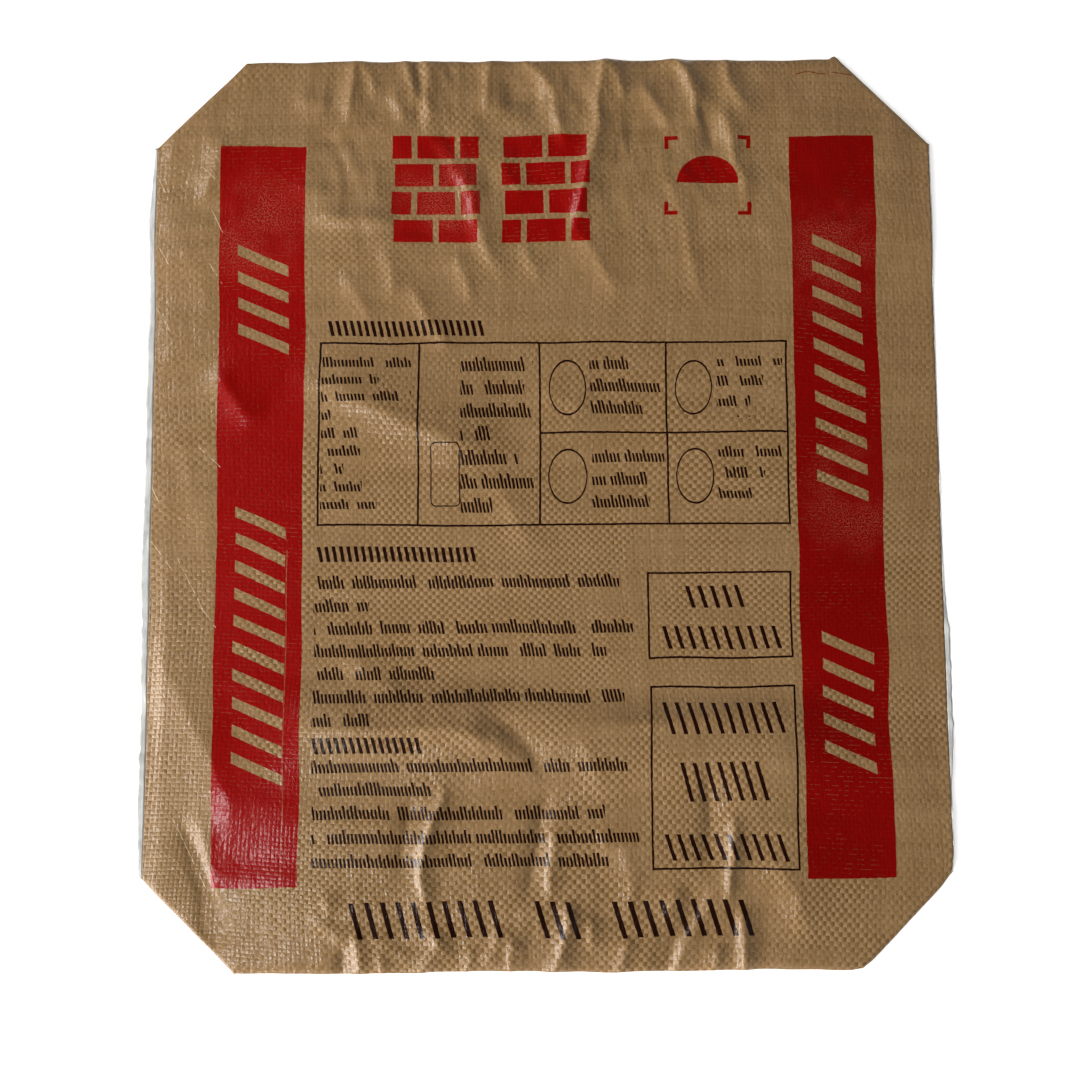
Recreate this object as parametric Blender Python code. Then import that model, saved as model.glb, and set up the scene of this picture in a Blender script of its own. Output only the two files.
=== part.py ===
"""An empty block-bottom valve bag of woven polypropylene, as used for cement, lying flat with its printed
face up. Metres, +Z up, +Y towards the filling end, origin on the floor under the middle of the bag."""

import math

import bmesh
import bpy
from mathutils import Vector

MM = 0.001

# Driving dimensions of the flat bag
WIDTH = 500 * MM  # between the two side folds
LENGTH = 580 * MM  # between the two end folds
BOTTOM = 115 * MM  # width of each folded block bottom
LAP = 40 * MM  # how far the two flaps of a bottom lie over each other
PATCH_LENGTH = 400 * MM
PATCH_WIDTH = 92 * MM
FIN_WIDTH = 5 * MM  # coating film standing out past each side fold

# Plies: every sheet lies on its own level, given by the height of its underside
PLY = 0.25 * MM
FILM = 0.15 * MM
SEAT = 0.3 * MM  # clearance between two pieces
LEVEL_PATCH = 0.0
LEVEL_FRONT_FLAP = LEVEL_PATCH + PLY + SEAT
LEVEL_BACK_FLAP = LEVEL_FRONT_FLAP + 0.45 * MM
LEVEL_VALVE = LEVEL_BACK_FLAP + PLY + SEAT
LEVEL_EAR = LEVEL_VALVE + PLY + SEAT
LEVEL_BACK_TURN = LEVEL_EAR + 0.45 * MM
LEVEL_BACK = LEVEL_BACK_TURN + 0.45 * MM
LEVEL_FRONT = LEVEL_BACK + 0.45 * MM

# The body between the two bottoms sinks to the floor, with a little air left under the front panel
BODY_FLOOR = 0.3 * MM  # underside of the back panel above the floor
BODY_CROWN = 3.3 * MM  # rise of the front panel in the middle of the bag
STEP_LENGTH = 45 * MM  # over which the panels come down from a bottom
ROWS = 19  # stations along the body
COLUMNS = 16  # spaces across a panel

# Folded bottoms
HALF_WIDTH = WIDTH / 2
HALF_LENGTH = LENGTH / 2
HALF_BOTTOM = BOTTOM / 2
CENTRE_LINE = HALF_LENGTH - HALF_BOTTOM  # middle of the bottom, level with the points at the sides
INNER_FOLD = CENTRE_LINE - HALF_BOTTOM  # where the back panel turns into its flap
FLAP_REACH = HALF_BOTTOM + LAP / 2  # from a flap's fold to its cut edge
EAR_REACH = HALF_BOTTOM + FLAP_REACH  # from the point at the side to the ear's cut edge
LEG = 0.6 * MM  # how far a fold's legs run into the plies that it joins

# The valve sheet in the right corner of the filling end
VALVE_MOUTH = HALF_WIDTH - 12 * MM
VALVE_END = 85 * MM
VALVE_HALF_WIDTH = 40 * MM
VALVE_EDGE_MARGIN = 3 * MM

KRAFT = (0.36, 0.235, 0.125, 1.0)
KRAFT_PATCH = (0.39, 0.26, 0.145, 1.0)
MILKY = (0.78, 0.80, 0.78, 1.0)


def clear_scene():
    for old in list(bpy.data.objects):
        bpy.data.objects.remove(old, do_unlink=True)


def make_material(name, colour, roughness):
    material = bpy.data.materials.new(name)
    material.use_nodes = True
    shader = material.node_tree.nodes["Principled BSDF"]
    shader.inputs["Base Color"].default_value = colour
    shader.inputs["Roughness"].default_value = roughness
    shader.inputs["Metallic"].default_value = 0.0
    material.diffuse_color = colour
    return material


def object_from(bm, name, material):
    """A scene object from a bmesh, with the normals pointing out."""
    bmesh.ops.recalc_face_normals(bm, faces=bm.faces[:])
    mesh = bpy.data.meshes.new(name)
    bm.to_mesh(mesh)
    bm.free()
    mesh.materials.append(material)
    obj = bpy.data.objects.new(name, mesh)
    bpy.context.scene.collection.objects.link(obj)
    return obj


def add_prism(bm, outline, low, high):
    """A flat sheet: the outline, a list of (x, y) points, between two heights."""
    base = bm.faces.new([bm.verts.new((x, y, low)) for x, y in outline])
    raised = bmesh.ops.extrude_face_region(bm, geom=[base])["geom"]
    corners = [item for item in raised if isinstance(item, bmesh.types.BMVert)]
    bmesh.ops.translate(bm, verts=corners, vec=(0, 0, high - low))


def add_fold(bm, start, end, outward, low, high, segments=6):
    """A rounded fold along the plan line start to end, joining the plies whose undersides are low and high.
    Its outermost line lies on the plan line, and it bulges outward."""
    outward = Vector((*outward, 0)).normalized()
    radius = (high - low) / 2
    centre_height = (low + high + PLY) / 2
    centre_inset = radius + PLY / 2
    half_turn = [math.pi * (step / segments - 0.5) for step in range(segments + 1)]
    outer = [(math.cos(a) * (radius + PLY / 2), math.sin(a) * (radius + PLY / 2)) for a in half_turn]
    inner = [(math.cos(a) * (radius - PLY / 2), math.sin(a) * (radius - PLY / 2)) for a in half_turn]
    profile = [(-LEG, outer[0][1]), *outer, (-LEG, outer[-1][1])]
    profile += [(-LEG, inner[-1][1]), *reversed(inner), (-LEG, inner[0][1])]
    along = Vector((*end, 0)) - Vector((*start, 0))
    base = [
        Vector((*start, 0)) + outward * (out - centre_inset) + Vector((0, 0, centre_height + up))
        for out, up in profile
    ]
    face = bm.faces.new([bm.verts.new(point) for point in base])
    raised = bmesh.ops.extrude_face_region(bm, geom=[face])["geom"]
    corners = [item for item in raised if isinstance(item, bmesh.types.BMVert)]
    bmesh.ops.translate(bm, verts=corners, vec=along)


def fold_inset(low, high):
    """How far a ply stops short of the outline, where a fold between two levels takes over."""
    return (high - low) / 2 + PLY / 2


def body_blend(y):
    """1 on the bottoms, 0 in the middle of the bag, with a smooth step between."""
    run = (abs(y) - (INNER_FOLD - STEP_LENGTH)) / STEP_LENGTH
    run = min(max(run, 0.0), 1.0)
    return run * run * (3 - 2 * run)


def back_height(y):
    """Underside of the back panel."""
    return BODY_FLOOR + (LEVEL_BACK - BODY_FLOOR) * body_blend(y)


def front_rise(x, y):
    """Height of the front panel above the back panel."""
    across = 1 - abs(x / HALF_WIDTH) ** 2.5
    return LEVEL_FRONT - LEVEL_BACK + BODY_CROWN * across * (1 - body_blend(y))


def body_rows():
    """Stations along the body, closer together where the panels step down from the bottoms."""
    step = INNER_FOLD - STEP_LENGTH
    ends = [CENTRE_LINE, (CENTRE_LINE + INNER_FOLD) / 2]
    slope = [INNER_FOLD - STEP_LENGTH * share for share in (0, 0.25, 0.5, 0.75, 1)]
    middle_count = ROWS - 2 * (len(ends) + len(slope))
    middle = [step - 2 * step * (i + 1) / (middle_count + 1) for i in range(middle_count)]
    half = ends + slope
    return half + middle + [-y for y in reversed(half)]


def body_section(y):
    """Middle surface of the tube at one station, once round: front panel, fold, back panel, fold."""
    back = back_height(y) + PLY / 2
    fold_radius = (LEVEL_FRONT - LEVEL_BACK) / 2
    edge = HALF_WIDTH - PLY / 2 - fold_radius
    across = [edge * (2 * i / COLUMNS - 1) for i in range(COLUMNS + 1)]
    front = [Vector((x, y, back + front_rise(x, y))) for x in across]
    under = [Vector((x, y, back)) for x in reversed(across)]
    right = Vector((edge + fold_radius, y, back + fold_radius))
    left = Vector((-edge - fold_radius, y, back + fold_radius))
    return [*front, right, *under, left]


def make_body(material):
    """The open tube between the two centre lines, as a sheet with a thickness."""
    bm = bmesh.new()
    loops = [[bm.verts.new(point) for point in body_section(y)] for y in body_rows()]
    for near, far in zip(loops, loops[1:]):
        for i in range(len(near)):
            j = (i + 1) % len(near)
            bm.faces.new((near[i], near[j], far[j], far[i]))
    bmesh.ops.recalc_face_normals(bm, faces=bm.faces[:])
    body = object_from(bm, "bag_tube", material)
    wall = body.modifiers.new("Wall", "SOLIDIFY")
    wall.thickness = PLY
    wall.offset = 0
    wall.use_even_offset = True
    return body


def trapezoid(wide, wide_y, narrow, narrow_y):
    """A sheet symmetric about x = 0, from one cross line to another."""
    return [(-wide, wide_y), (wide, wide_y), (narrow, narrow_y), (-narrow, narrow_y)]


def make_bottom(end):
    """All plies and folds of one folded bottom, at the end of the bag that end, +1 or -1, points to."""
    bm = bmesh.new()
    half_fold = HALF_WIDTH - HALF_BOTTOM
    front_inset = fold_inset(LEVEL_FRONT_FLAP, LEVEL_FRONT)
    chamfer_inset = fold_inset(LEVEL_EAR, LEVEL_FRONT) * math.sqrt(2)
    back_chamfer_inset = fold_inset(LEVEL_EAR, LEVEL_BACK_TURN) * math.sqrt(2)
    back_inset = fold_inset(LEVEL_BACK_TURN, LEVEL_BACK)
    inner_inset = fold_inset(LEVEL_BACK_FLAP, LEVEL_BACK_TURN)

    def chamfered(y, inset):
        """Half width of the hexagonal bottom at a height y, less an inset."""
        return HALF_WIDTH - abs(y - CENTRE_LINE) - inset

    top = HALF_LENGTH - front_inset
    seam = CENTRE_LINE - LEG
    front_end = trapezoid(chamfered(CENTRE_LINE, chamfer_inset), seam, chamfered(top, chamfer_inset), top)
    add_prism(bm, front_end, LEVEL_FRONT, LEVEL_FRONT + PLY)
    flap_tip = half_fold - FLAP_REACH
    front_flap = trapezoid(half_fold - front_inset, top, flap_tip, HALF_LENGTH - FLAP_REACH)
    add_prism(bm, front_flap, LEVEL_FRONT_FLAP, LEVEL_FRONT_FLAP + PLY)

    turn_top = CENTRE_LINE - back_inset
    turn_low = INNER_FOLD + inner_inset
    turn = trapezoid(
        chamfered(turn_top, back_chamfer_inset), turn_top, chamfered(turn_low, back_chamfer_inset), turn_low
    )
    add_prism(bm, turn, LEVEL_BACK_TURN, LEVEL_BACK_TURN + PLY)
    back_flap = trapezoid(half_fold - inner_inset, turn_low, flap_tip, INNER_FOLD + FLAP_REACH)
    add_prism(bm, back_flap, LEVEL_BACK_FLAP, LEVEL_BACK_FLAP + PLY)

    for side in (-1, 1):
        ear_top = HALF_LENGTH - 2 * front_inset
        ear_low = INNER_FOLD + 2 * inner_inset
        ear = [
            (side * (HALF_WIDTH - chamfer_inset), CENTRE_LINE),
            (side * chamfered(ear_top, chamfer_inset), ear_top),
            (side * (HALF_WIDTH - EAR_REACH), ear_top),
            (side * (HALF_WIDTH - EAR_REACH), ear_low),
            (side * chamfered(ear_low, back_chamfer_inset), ear_low),
            (side * (HALF_WIDTH - chamfer_inset), CENTRE_LINE - chamfer_inset + back_chamfer_inset),
        ]
        add_prism(bm, ear, LEVEL_EAR, LEVEL_EAR + PLY)
        point = (side * HALF_WIDTH, CENTRE_LINE)
        add_fold(bm, point, (side * half_fold, HALF_LENGTH), (side, 1), LEVEL_EAR, LEVEL_FRONT)
        add_fold(bm, point, (side * half_fold, INNER_FOLD), (side, -1), LEVEL_EAR, LEVEL_BACK_TURN)

    add_fold(
        bm, (-half_fold, HALF_LENGTH), (half_fold, HALF_LENGTH), (0, 1), LEVEL_FRONT_FLAP, LEVEL_FRONT, 8
    )
    back_edge = HALF_WIDTH - back_chamfer_inset
    add_fold(
        bm, (-back_edge, CENTRE_LINE), (back_edge, CENTRE_LINE), (0, 1), LEVEL_BACK_TURN, LEVEL_BACK
    )
    add_fold(
        bm, (-half_fold, INNER_FOLD), (half_fold, INNER_FOLD), (0, -1), LEVEL_BACK_FLAP, LEVEL_BACK_TURN
    )
    if end < 0:
        bmesh.ops.scale(bm, vec=(1, -1, 1), verts=bm.verts[:])
    return bm


def make_tube(material):
    """The woven tube: its body, joined to the folded bottoms at both ends."""
    tube = make_body(material)
    for end, name in ((1, "folds_top"), (-1, "folds_low")):
        folds = object_from(make_bottom(end), name, material)
        folds.hide_render = True
        folds.display_type = "WIRE"
        joined = tube.modifiers.new(name, "BOOLEAN")
        joined.operation = "UNION"
        joined.solver = "EXACT"
        joined.use_self = True
        joined.object = folds
    return tube


def make_patch(name, end, material):
    """The cover sheet welded over a folded bottom."""
    bm = bmesh.new()
    half = PATCH_LENGTH / 2
    low = end * (CENTRE_LINE - PATCH_WIDTH / 2)
    high = end * (CENTRE_LINE + PATCH_WIDTH / 2)
    add_prism(bm, trapezoid(half, low, half, high), LEVEL_PATCH, LEVEL_PATCH + PLY)
    return object_from(bm, name, material)


def make_valve_sheet(material):
    """The sheet in the right corner of the filling end, which forms the filling channel."""
    bm = bmesh.new()
    shoulder = HALF_WIDTH - VALVE_EDGE_MARGIN - VALVE_HALF_WIDTH
    mouth_half = HALF_WIDTH - VALVE_EDGE_MARGIN - VALVE_MOUTH
    outline = [
        (VALVE_END, CENTRE_LINE - VALVE_HALF_WIDTH),
        (shoulder, CENTRE_LINE - VALVE_HALF_WIDTH),
        (VALVE_MOUTH, CENTRE_LINE - mouth_half),
        (VALVE_MOUTH, CENTRE_LINE + mouth_half),
        (shoulder, CENTRE_LINE + VALVE_HALF_WIDTH),
        (VALVE_END, CENTRE_LINE + VALVE_HALF_WIDTH),
    ]
    add_prism(bm, outline, LEVEL_VALVE, LEVEL_VALVE + PLY)
    return object_from(bm, "valve_sheet", material)


def make_fin(name, side, material):
    """The strip of coating film along a side fold, from one point of the bag to the other."""
    bm = bmesh.new()
    inner = side * (HALF_WIDTH + SEAT)
    rows = body_rows()
    loops = []
    for y in rows:
        run_out = min(1.0, 0.25 + (CENTRE_LINE - abs(y)) / (4 * FIN_WIDTH))
        outer = side * (HALF_WIDTH + SEAT + (FIN_WIDTH - SEAT) * run_out)
        low = back_height(y) + (LEVEL_FRONT - LEVEL_BACK) / 2 + PLY / 2 - FILM / 2
        corners = ((inner, low), (outer, low), (outer, low + FILM), (inner, low + FILM))
        loops.append([bm.verts.new((x, y, z)) for x, z in corners])
    for near, far in zip(loops, loops[1:]):
        for i in range(4):
            j = (i + 1) % 4
            bm.faces.new((near[i], near[j], far[j], far[i]))
    bm.faces.new(loops[0])
    bm.faces.new(loops[-1])
    return object_from(bm, name, material)


def main():
    clear_scene()
    woven = make_material("kraft_woven", KRAFT, 0.45)
    patch = make_material("kraft_patch", KRAFT_PATCH, 0.5)
    film = make_material("milky_film", MILKY, 0.3)
    make_tube(woven)
    make_patch("top_cover_patch", 1, patch)
    make_patch("bottom_cover_patch", -1, patch)
    make_valve_sheet(patch)
    make_fin("coating_fin_left", -1, film)
    make_fin("coating_fin_right", 1, film)


main()
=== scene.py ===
"""The look of an empty block-bottom cement bag: a tube of coated woven polypropylene, folded from its flat
pattern and printed on one face, with its cover patches, valve sheet and coating fins, on a plain stage."""

import math
from collections import namedtuple

import bmesh
import bpy
import numpy as np
from bpy.props import FloatProperty, FloatVectorProperty, IntProperty, PointerProperty
from mathutils import Euler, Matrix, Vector, noise


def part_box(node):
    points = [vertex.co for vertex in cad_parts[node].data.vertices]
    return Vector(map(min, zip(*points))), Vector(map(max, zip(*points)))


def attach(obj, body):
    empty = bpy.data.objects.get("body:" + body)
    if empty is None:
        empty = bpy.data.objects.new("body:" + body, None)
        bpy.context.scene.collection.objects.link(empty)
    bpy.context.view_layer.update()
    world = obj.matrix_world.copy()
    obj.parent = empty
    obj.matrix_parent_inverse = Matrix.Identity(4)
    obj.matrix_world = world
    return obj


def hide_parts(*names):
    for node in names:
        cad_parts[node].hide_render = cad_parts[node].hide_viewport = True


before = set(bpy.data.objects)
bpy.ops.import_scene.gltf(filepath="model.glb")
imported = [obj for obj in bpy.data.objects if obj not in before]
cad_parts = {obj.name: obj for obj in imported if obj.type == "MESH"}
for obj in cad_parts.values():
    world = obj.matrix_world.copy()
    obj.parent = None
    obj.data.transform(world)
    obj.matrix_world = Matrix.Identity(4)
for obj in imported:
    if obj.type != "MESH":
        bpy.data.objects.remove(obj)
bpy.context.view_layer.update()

bl_info = {
    "name": "Cement Bag",
    "version": (1, 0, 0),
    "blender": (4, 5, 0),
    "location": "3D View > Sidebar > Cement Bag",
    "description": "Builds an empty block-bottom cement bag with its woven, printed cloth, and a plain stage",
    "category": "Object",
}

MM = 0.001
BODY = "root"
PATTERN_MAP = "Pattern"

TUBE_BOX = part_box("bag_tube")
PATCH_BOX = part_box("top_cover_patch")
VALVE_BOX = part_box("valve_sheet")


def span(box, axis):
    """Size of a box along one axis, to the nearest millimetre."""
    return round(box[1][axis] - box[0][axis], 3)


def length_setting(name, description, value):
    """A size that a user may change."""
    return FloatProperty(name=name, description=description, default=value, unit="LENGTH")


def power_setting(name, description, value):
    """The power of a light."""
    return FloatProperty(name=name, description=description, default=value, unit="POWER")


def colour_setting(name, description, value):
    """A colour that a user may change."""
    return FloatVectorProperty(
        name=name, description=description, default=value, subtype="COLOR", min=0.0, max=1.0
    )


class BagSizes(bpy.types.PropertyGroup):
    """Sizes of the folded bag and of its cloth."""

    width: length_setting("Width", "Between the two side folds", span(TUBE_BOX, 0))
    length: length_setting("Length", "Between the two end folds", span(TUBE_BOX, 1))
    bottom: length_setting("Bottom width", "Width of each folded bottom", 115 * MM)
    lap: length_setting("Lap", "How far the two flaps of a bottom overlap", 40 * MM)
    ply: length_setting("Ply", "Thickness of the patches and the valve sheet", 0.25 * MM)
    film: length_setting("Film", "Thickness of the coating fins", 0.15 * MM)
    tape: length_setting("Tape", "Width of one woven tape", 2.66 * MM)
    mesh_across: length_setting("Mesh across", "Spacing of the front panel's mesh across the bag", 1.65 * MM)
    mesh_along: length_setting("Mesh along", "Spacing of the mesh along the bag", 3.0 * MM)


class BagCreasing(bpy.types.PropertyGroup):
    """How rumpled the bag is."""

    crown: length_setting("Crown", "Rise of the front panel in the middle", 1.0 * MM)
    lift: length_setting("Lift", "How far the crumpled panel stands off the plies below", 2.2 * MM)
    creases: FloatProperty(
        name="Creases", description="Strength of the flutes and creases", default=2.0, subtype="FACTOR"
    )
    crumple: length_setting("Crumple", "Height of the crumpling at the ends", 1.6 * MM)
    swell: length_setting("Swell", "Height of the broad unevenness", 0.9 * MM)
    edge_wave: length_setting("Edge wave", "How far the outline wanders", 0.7 * MM)
    seed: IntProperty(name="Seed", description="Picks another set of small wrinkles", default=3)


class BagColours(bpy.types.PropertyGroup):
    """Colours of cloth, print and film."""

    # From deep kraft to kraft run the cloth's random tones and its checker of dark and light squares; the
    # checker is painted sheen
    kraft: colour_setting("Kraft", "The tape on top of the weave", (0.290, 0.180, 0.088))
    kraft_deep: colour_setting("Kraft, deep", "The tape that dips under", (0.158, 0.085, 0.028))
    red: colour_setting("Red ink", "Bands and large marks", (0.215, 0.0022, 0.0014))
    worn_red: colour_setting("Worn red", "Red ink where it is rubbed thin", (0.30, 0.045, 0.028))
    brown: colour_setting("Brown ink", "Frames and rows", (0.010, 0.0015, 0.0007))
    scratch: colour_setting("Scratches", "Hairlines in the coating", (0.55, 0.42, 0.27))
    film: colour_setting("Film", "Milky coating film", (0.52, 0.52, 0.50))


class BagStage(bpy.types.PropertyGroup):
    """Floor, light and camera."""

    floor: colour_setting("Floor", "Colour of the floor", (0.97, 0.97, 0.97))
    floor_glow: FloatProperty(
        name="Floor glow",
        description="How strongly the floor is lit from below, like a light table",
        default=0.6,
    )
    sky: FloatProperty(
        name="Sky", description="Strength of the even light that comes from all round, low down", default=0.4
    )
    window: power_setting("Window", "Power of the long soft light on the left", 345.0)
    lamp: power_setting("Lamp", "Power of the small light whose glints show at the foot", 7.0)
    top_lamp: power_setting("Top lamp", "Power of the small light whose sheen shows at the filling end", 5.0)
    lens: FloatProperty(
        name="Lens angle",
        description="The camera's field of view",
        default=math.radians(40.0),
        subtype="ANGLE",
    )


# Plies of a folded bottom: the height of the middle of each above the floor, in millimetres
FRONT, FRONT_EAR, FRONT_FLAP, FRONT_HEM, BACK, BACK_TURN, BACK_EAR, BACK_FLAP, BACK_HEM = range(9)
PLY_LEVELS = {
    FRONT_FLAP: 0.675,
    FRONT_HEM: 0.925,
    BACK_FLAP: 1.175,
    BACK_HEM: 1.425,
    FRONT_EAR: 2.225,
    BACK_EAR: 2.225,
    BACK_TURN: 2.675,
    BACK: 3.125,
    FRONT: 3.575,
}
BODY_LEVEL = 0.425  # middle of the back panel above the floor, between the two bottoms
STEP_LENGTH = 45 * MM  # over which the panels come down from a bottom
LEAST_GAP = 0.3 * MM  # between the front panel and the back panel
FOLD_ROUND = 1.2 * MM  # reach of a fold's rounding between two sheets that touch
FOLD_ROUND_SHARE = 0.75  # and what is added to it for each millimetre between the sheets
NEAR_FOLD = (0.8 * MM, 1.7 * MM)  # extra rows of mesh beside the outer folds
BACK_COARSENESS = 6  # how much wider the back panel's mesh is than the front panel's
TOLERANCE = 1e-7  # a point this close to a fold lies on it
CUT_TOLERANCE = 1e-6
JOIN_REACH = 0.05 * MM  # points of the tube's two long edges that are closer are joined
FAR = 1.0  # farther than anything on the bag

# Creases of the front panel in millimetres: height, which is below 0 in a valley, reach of the steep side,
# and points along the ridge. The creasing settings multiply the heights
Crease = namedtuple("Crease", "height reach points")
CREASES = (
    Crease(1.5, 4.0, ((-122, 291), (-124, 269), (-127, 247))),
    Crease(1.3, 5.0, ((-98, 274), (-94, 260), (-88, 244))),
    Crease(1.5, 4.6, ((-90, 291), (-84, 272), (-79, 254))),
    Crease(1.3, 5.0, ((-76, 291), (-74, 262), (-75, 236))),
    Crease(-0.8, 3.0, ((-81, 291), (-81, 262), (-80, 240))),
    Crease(1.3, 4.6, ((-34, 291), (-37, 268), (-39, 250))),
    Crease(1.0, 5.0, ((-156, 238), (-128, 240), (-108, 255))),
    Crease(-1.3, 4.0, ((-156, 237), (-126, 238), (-110, 250))),
    Crease(1.8, 6.0, ((-156, 186), (-120, 183), (-92, 184))),
    Crease(-0.5, 2.0, ((-134, 164), (-118, 172), (-92, 176), (-60, 175))),
    Crease(1.5, 6.0, ((-66, 226), (-50, 206), (-43, 182), (-35, 160), (-22, 138))),
    Crease(0.9, 5.0, ((-60, 164), (-51, 145), (-46, 124))),
    Crease(0.8, 6.0, ((-104, 168), (-97, 143), (-99, 126))),
    Crease(1.4, 5.0, ((-12, 291), (5, 271), (11, 244), (18, 226))),
    Crease(2.0, 5.4, ((41, 291), (36, 268), (35, 240), (28, 214), (21, 181), (20, 160))),
    Crease(1.3, 4.6, ((42, 291), (48, 276), (55, 258))),
    Crease(1.4, 5.4, ((60, 278), (72, 258), (84, 241))),
    Crease(2.1, 4.6, ((82, 292), (93, 281), (98, 262), (101, 248), (110, 236))),
    Crease(-1.5, 5.0, ((97, 266), (106, 244), (113, 222))),
    Crease(1.3, 5.6, ((108, 266), (119, 246), (123, 224), (129, 206), (132, 188))),
    Crease(1.2, 4.2, ((119, 292), (120, 276), (128, 262), (140, 250))),
    Crease(0.8, 6.0, ((74, 232), (80, 206), (89, 184), (96, 150), (104, 118))),
    Crease(1.0, 6.0, ((16, 182), (30, 164), (40, 146), (50, 128))),
    Crease(-1.6, 6.0, ((-30, 264), (-12, 264), (2, 263))),
    Crease(-0.8, 8.0, ((48, 246), (62, 243), (84, 246))),
    Crease(0.8, 6.0, ((-164, 268), (-150, 262), (-136, 260))),
    Crease(0.7, 7.0, ((-166, 214), (-146, 200), (-120, 206))),
    Crease(0.8, 6.0, ((-26, 232), (-24, 214), (-12, 196))),
    Crease(0.8, 5.0, ((-112, 224), (-108, 205), (-112, 190))),
    Crease(1.9, 3.6, ((-69, -168), (-65, -184), (-74, -206), (-78, -230), (-73, -260))),
    Crease(-1.1, 6.0, ((-83, -178), (-88, -205), (-91, -240))),
    Crease(1.0, 4.0, ((-136, -240), (-134, -256))),
    Crease(1.5, 4.2, ((-119, -262), (-117, -276), (-116, -292))),
    Crease(-1.0, 3.6, ((-127, -270), (-126, -292))),
    Crease(1.2, 4.0, ((-104, -274), (-101, -292))),
    Crease(1.4, 4.2, ((-80, -292), (-71, -278), (-66, -262))),
    Crease(0.8, 3.0, ((-112, -262), (-92, -278), (-76, -276))),
    Crease(0.8, 3.0, ((-80, -258), (-68, -272), (-58, -284))),
    Crease(1.2, 4.0, ((-50, -292), (-47, -274))),
    Crease(1.2, 4.4, ((-42, -286), (-34, -276), (-30, -262))),
    Crease(0.8, 3.0, ((-28, -262), (-18, -280))),
    Crease(1.2, 4.0, ((-24, -292), (-22, -268))),
    Crease(-1.9, 5.0, ((-230, -188), (-220, -214), (-211, -238), (-209, -254), (-202, -284))),
    Crease(1.2, 5.0, ((-216, -190), (-211, -214), (-204, -240), (-202, -252))),
    Crease(0.8, 3.0, ((-150, -252), (-132, -264), (-124, -276))),
    Crease(1.9, 3.2, ((112, -190), (114, -214), (111, -236), (108, -256))),
    Crease(-1.3, 7.0, ((97, -158), (100, -190), (99, -215), (94, -236))),
    Crease(1.9, 4.0, ((117, -246), (119, -270), (120, -292))),
    Crease(2.1, 4.4, ((14, -244), (11, -262), (7, -282), (1, -292))),
    Crease(1.2, 4.0, ((27, -254), (26, -278))),
    Crease(1.2, 4.4, ((50, -268), (42, -292))),
    Crease(1.5, 5.0, ((108, -236), (96, -254), (84, -272), (76, -292))),
    Crease(-1.3, 6.0, ((102, -238), (90, -254), (78, -270), (70, -290))),
    Crease(1.2, 4.0, ((104, -272), (100, -292))),
    Crease(-1.4, 6.0, ((2, -174), (-6, -205), (-11, -238), (-18, -256))),
    Crease(1.3, 3.6, ((6, -198), (2, -222), (0, -252))),
    Crease(0.6, 6.0, ((44, -206), (50, -230), (54, -250))),
    Crease(0.9, 5.0, ((80, -238), (74, -252), (70, -262))),
    Crease(2.0, 8.0, ((-168, -140), (-110, -143), (-64, -142), (-34, -152), (-12, -172))),
    Crease(1.2, 8.0, ((4, -148), (48, -141), (96, -135), (152, -125))),
    Crease(2.4, 27.0, ((-248, -78), (-228, -122), (-204, -168), (-190, -220))),
    Crease(1.5, 14.0, ((130, -214), (150, -242), (160, -276))),
    Crease(-1.4, 7.0, ((-46, -128), (-20, -146), (-6, -163), (-2, -178))),
    Crease(0.6, 7.0, ((16, -142), (26, -160), (36, -188))),
    Crease(0.5, 5.0, ((32, -198), (38, -222))),
    Crease(2.7, 16.0, ((-168, 84), (-120, 66), (-86, 50), (-50, 36), (-10, 30))),
    Crease(1.3, 7.0, ((-88, 146), (-78, 124), (-66, 106), (-56, 92))),
    Crease(0.9, 7.0, ((-130, 152), (-118, 130), (-108, 110))),
    Crease(0.8, 5.0, ((-16, 168), (-8, 154), (-2, 140))),
    Crease(1.3, 8.0, ((-214, 94), (-206, 78), (-194, 62), (-178, 50))),
    Crease(0.9, 10.0, ((-8, 78), (12, 64), (36, 58))),
    Crease(0.8, 9.0, ((-36, 24), (-20, -10), (0, -34))),
    Crease(0.9, 9.0, ((-130, -92), (-110, -108), (-84, -124))),
    Crease(0.4, 9.0, ((-238, 60), (-226, 20), (-214, -26), (-212, -60))),
    Crease(0.3, 9.0, ((-248, -20), (-238, -60), (-226, -100))),
    Crease(0.4, 10.0, ((-242, 180), (-222, 150), (-214, 110))),
    Crease(1.3, 9.0, ((-206, 246), (-212, 216), (-224, 190))),
    Crease(1.0, 4.0, ((-117, 291), (-112, 277), (-106, 262))),
)
PATH_STEPS = 6  # straight legs between two points of a ridge
RIDGE_TAIL = 4.0  # a crease counts this many of its widths out from its ridge
RUNS_OUT = 286 * MM  # a crease that ends farther out than this runs into the end fold at full height
CREASE_REACH = 0.82  # narrows all the creases alike
CREASE_SHARPNESS = 1.2  # 2 is a soft swelling, 1 a knife edge
GENTLE_SIDE = 2.0  # how much wider the gentle side of a crease is
GENTLE_WAY = (0.93, 0.37)  # and the way it faces
CREASE_FADE = 0.32  # share of a crease's length over which it comes and goes
CREASE_WANDER = 1.6 * MM  # how far a ridge strays from its smooth path
CREST_ROUND = 0.05  # roundness of the crumpling's crests, where 0 is a knife edge

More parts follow.
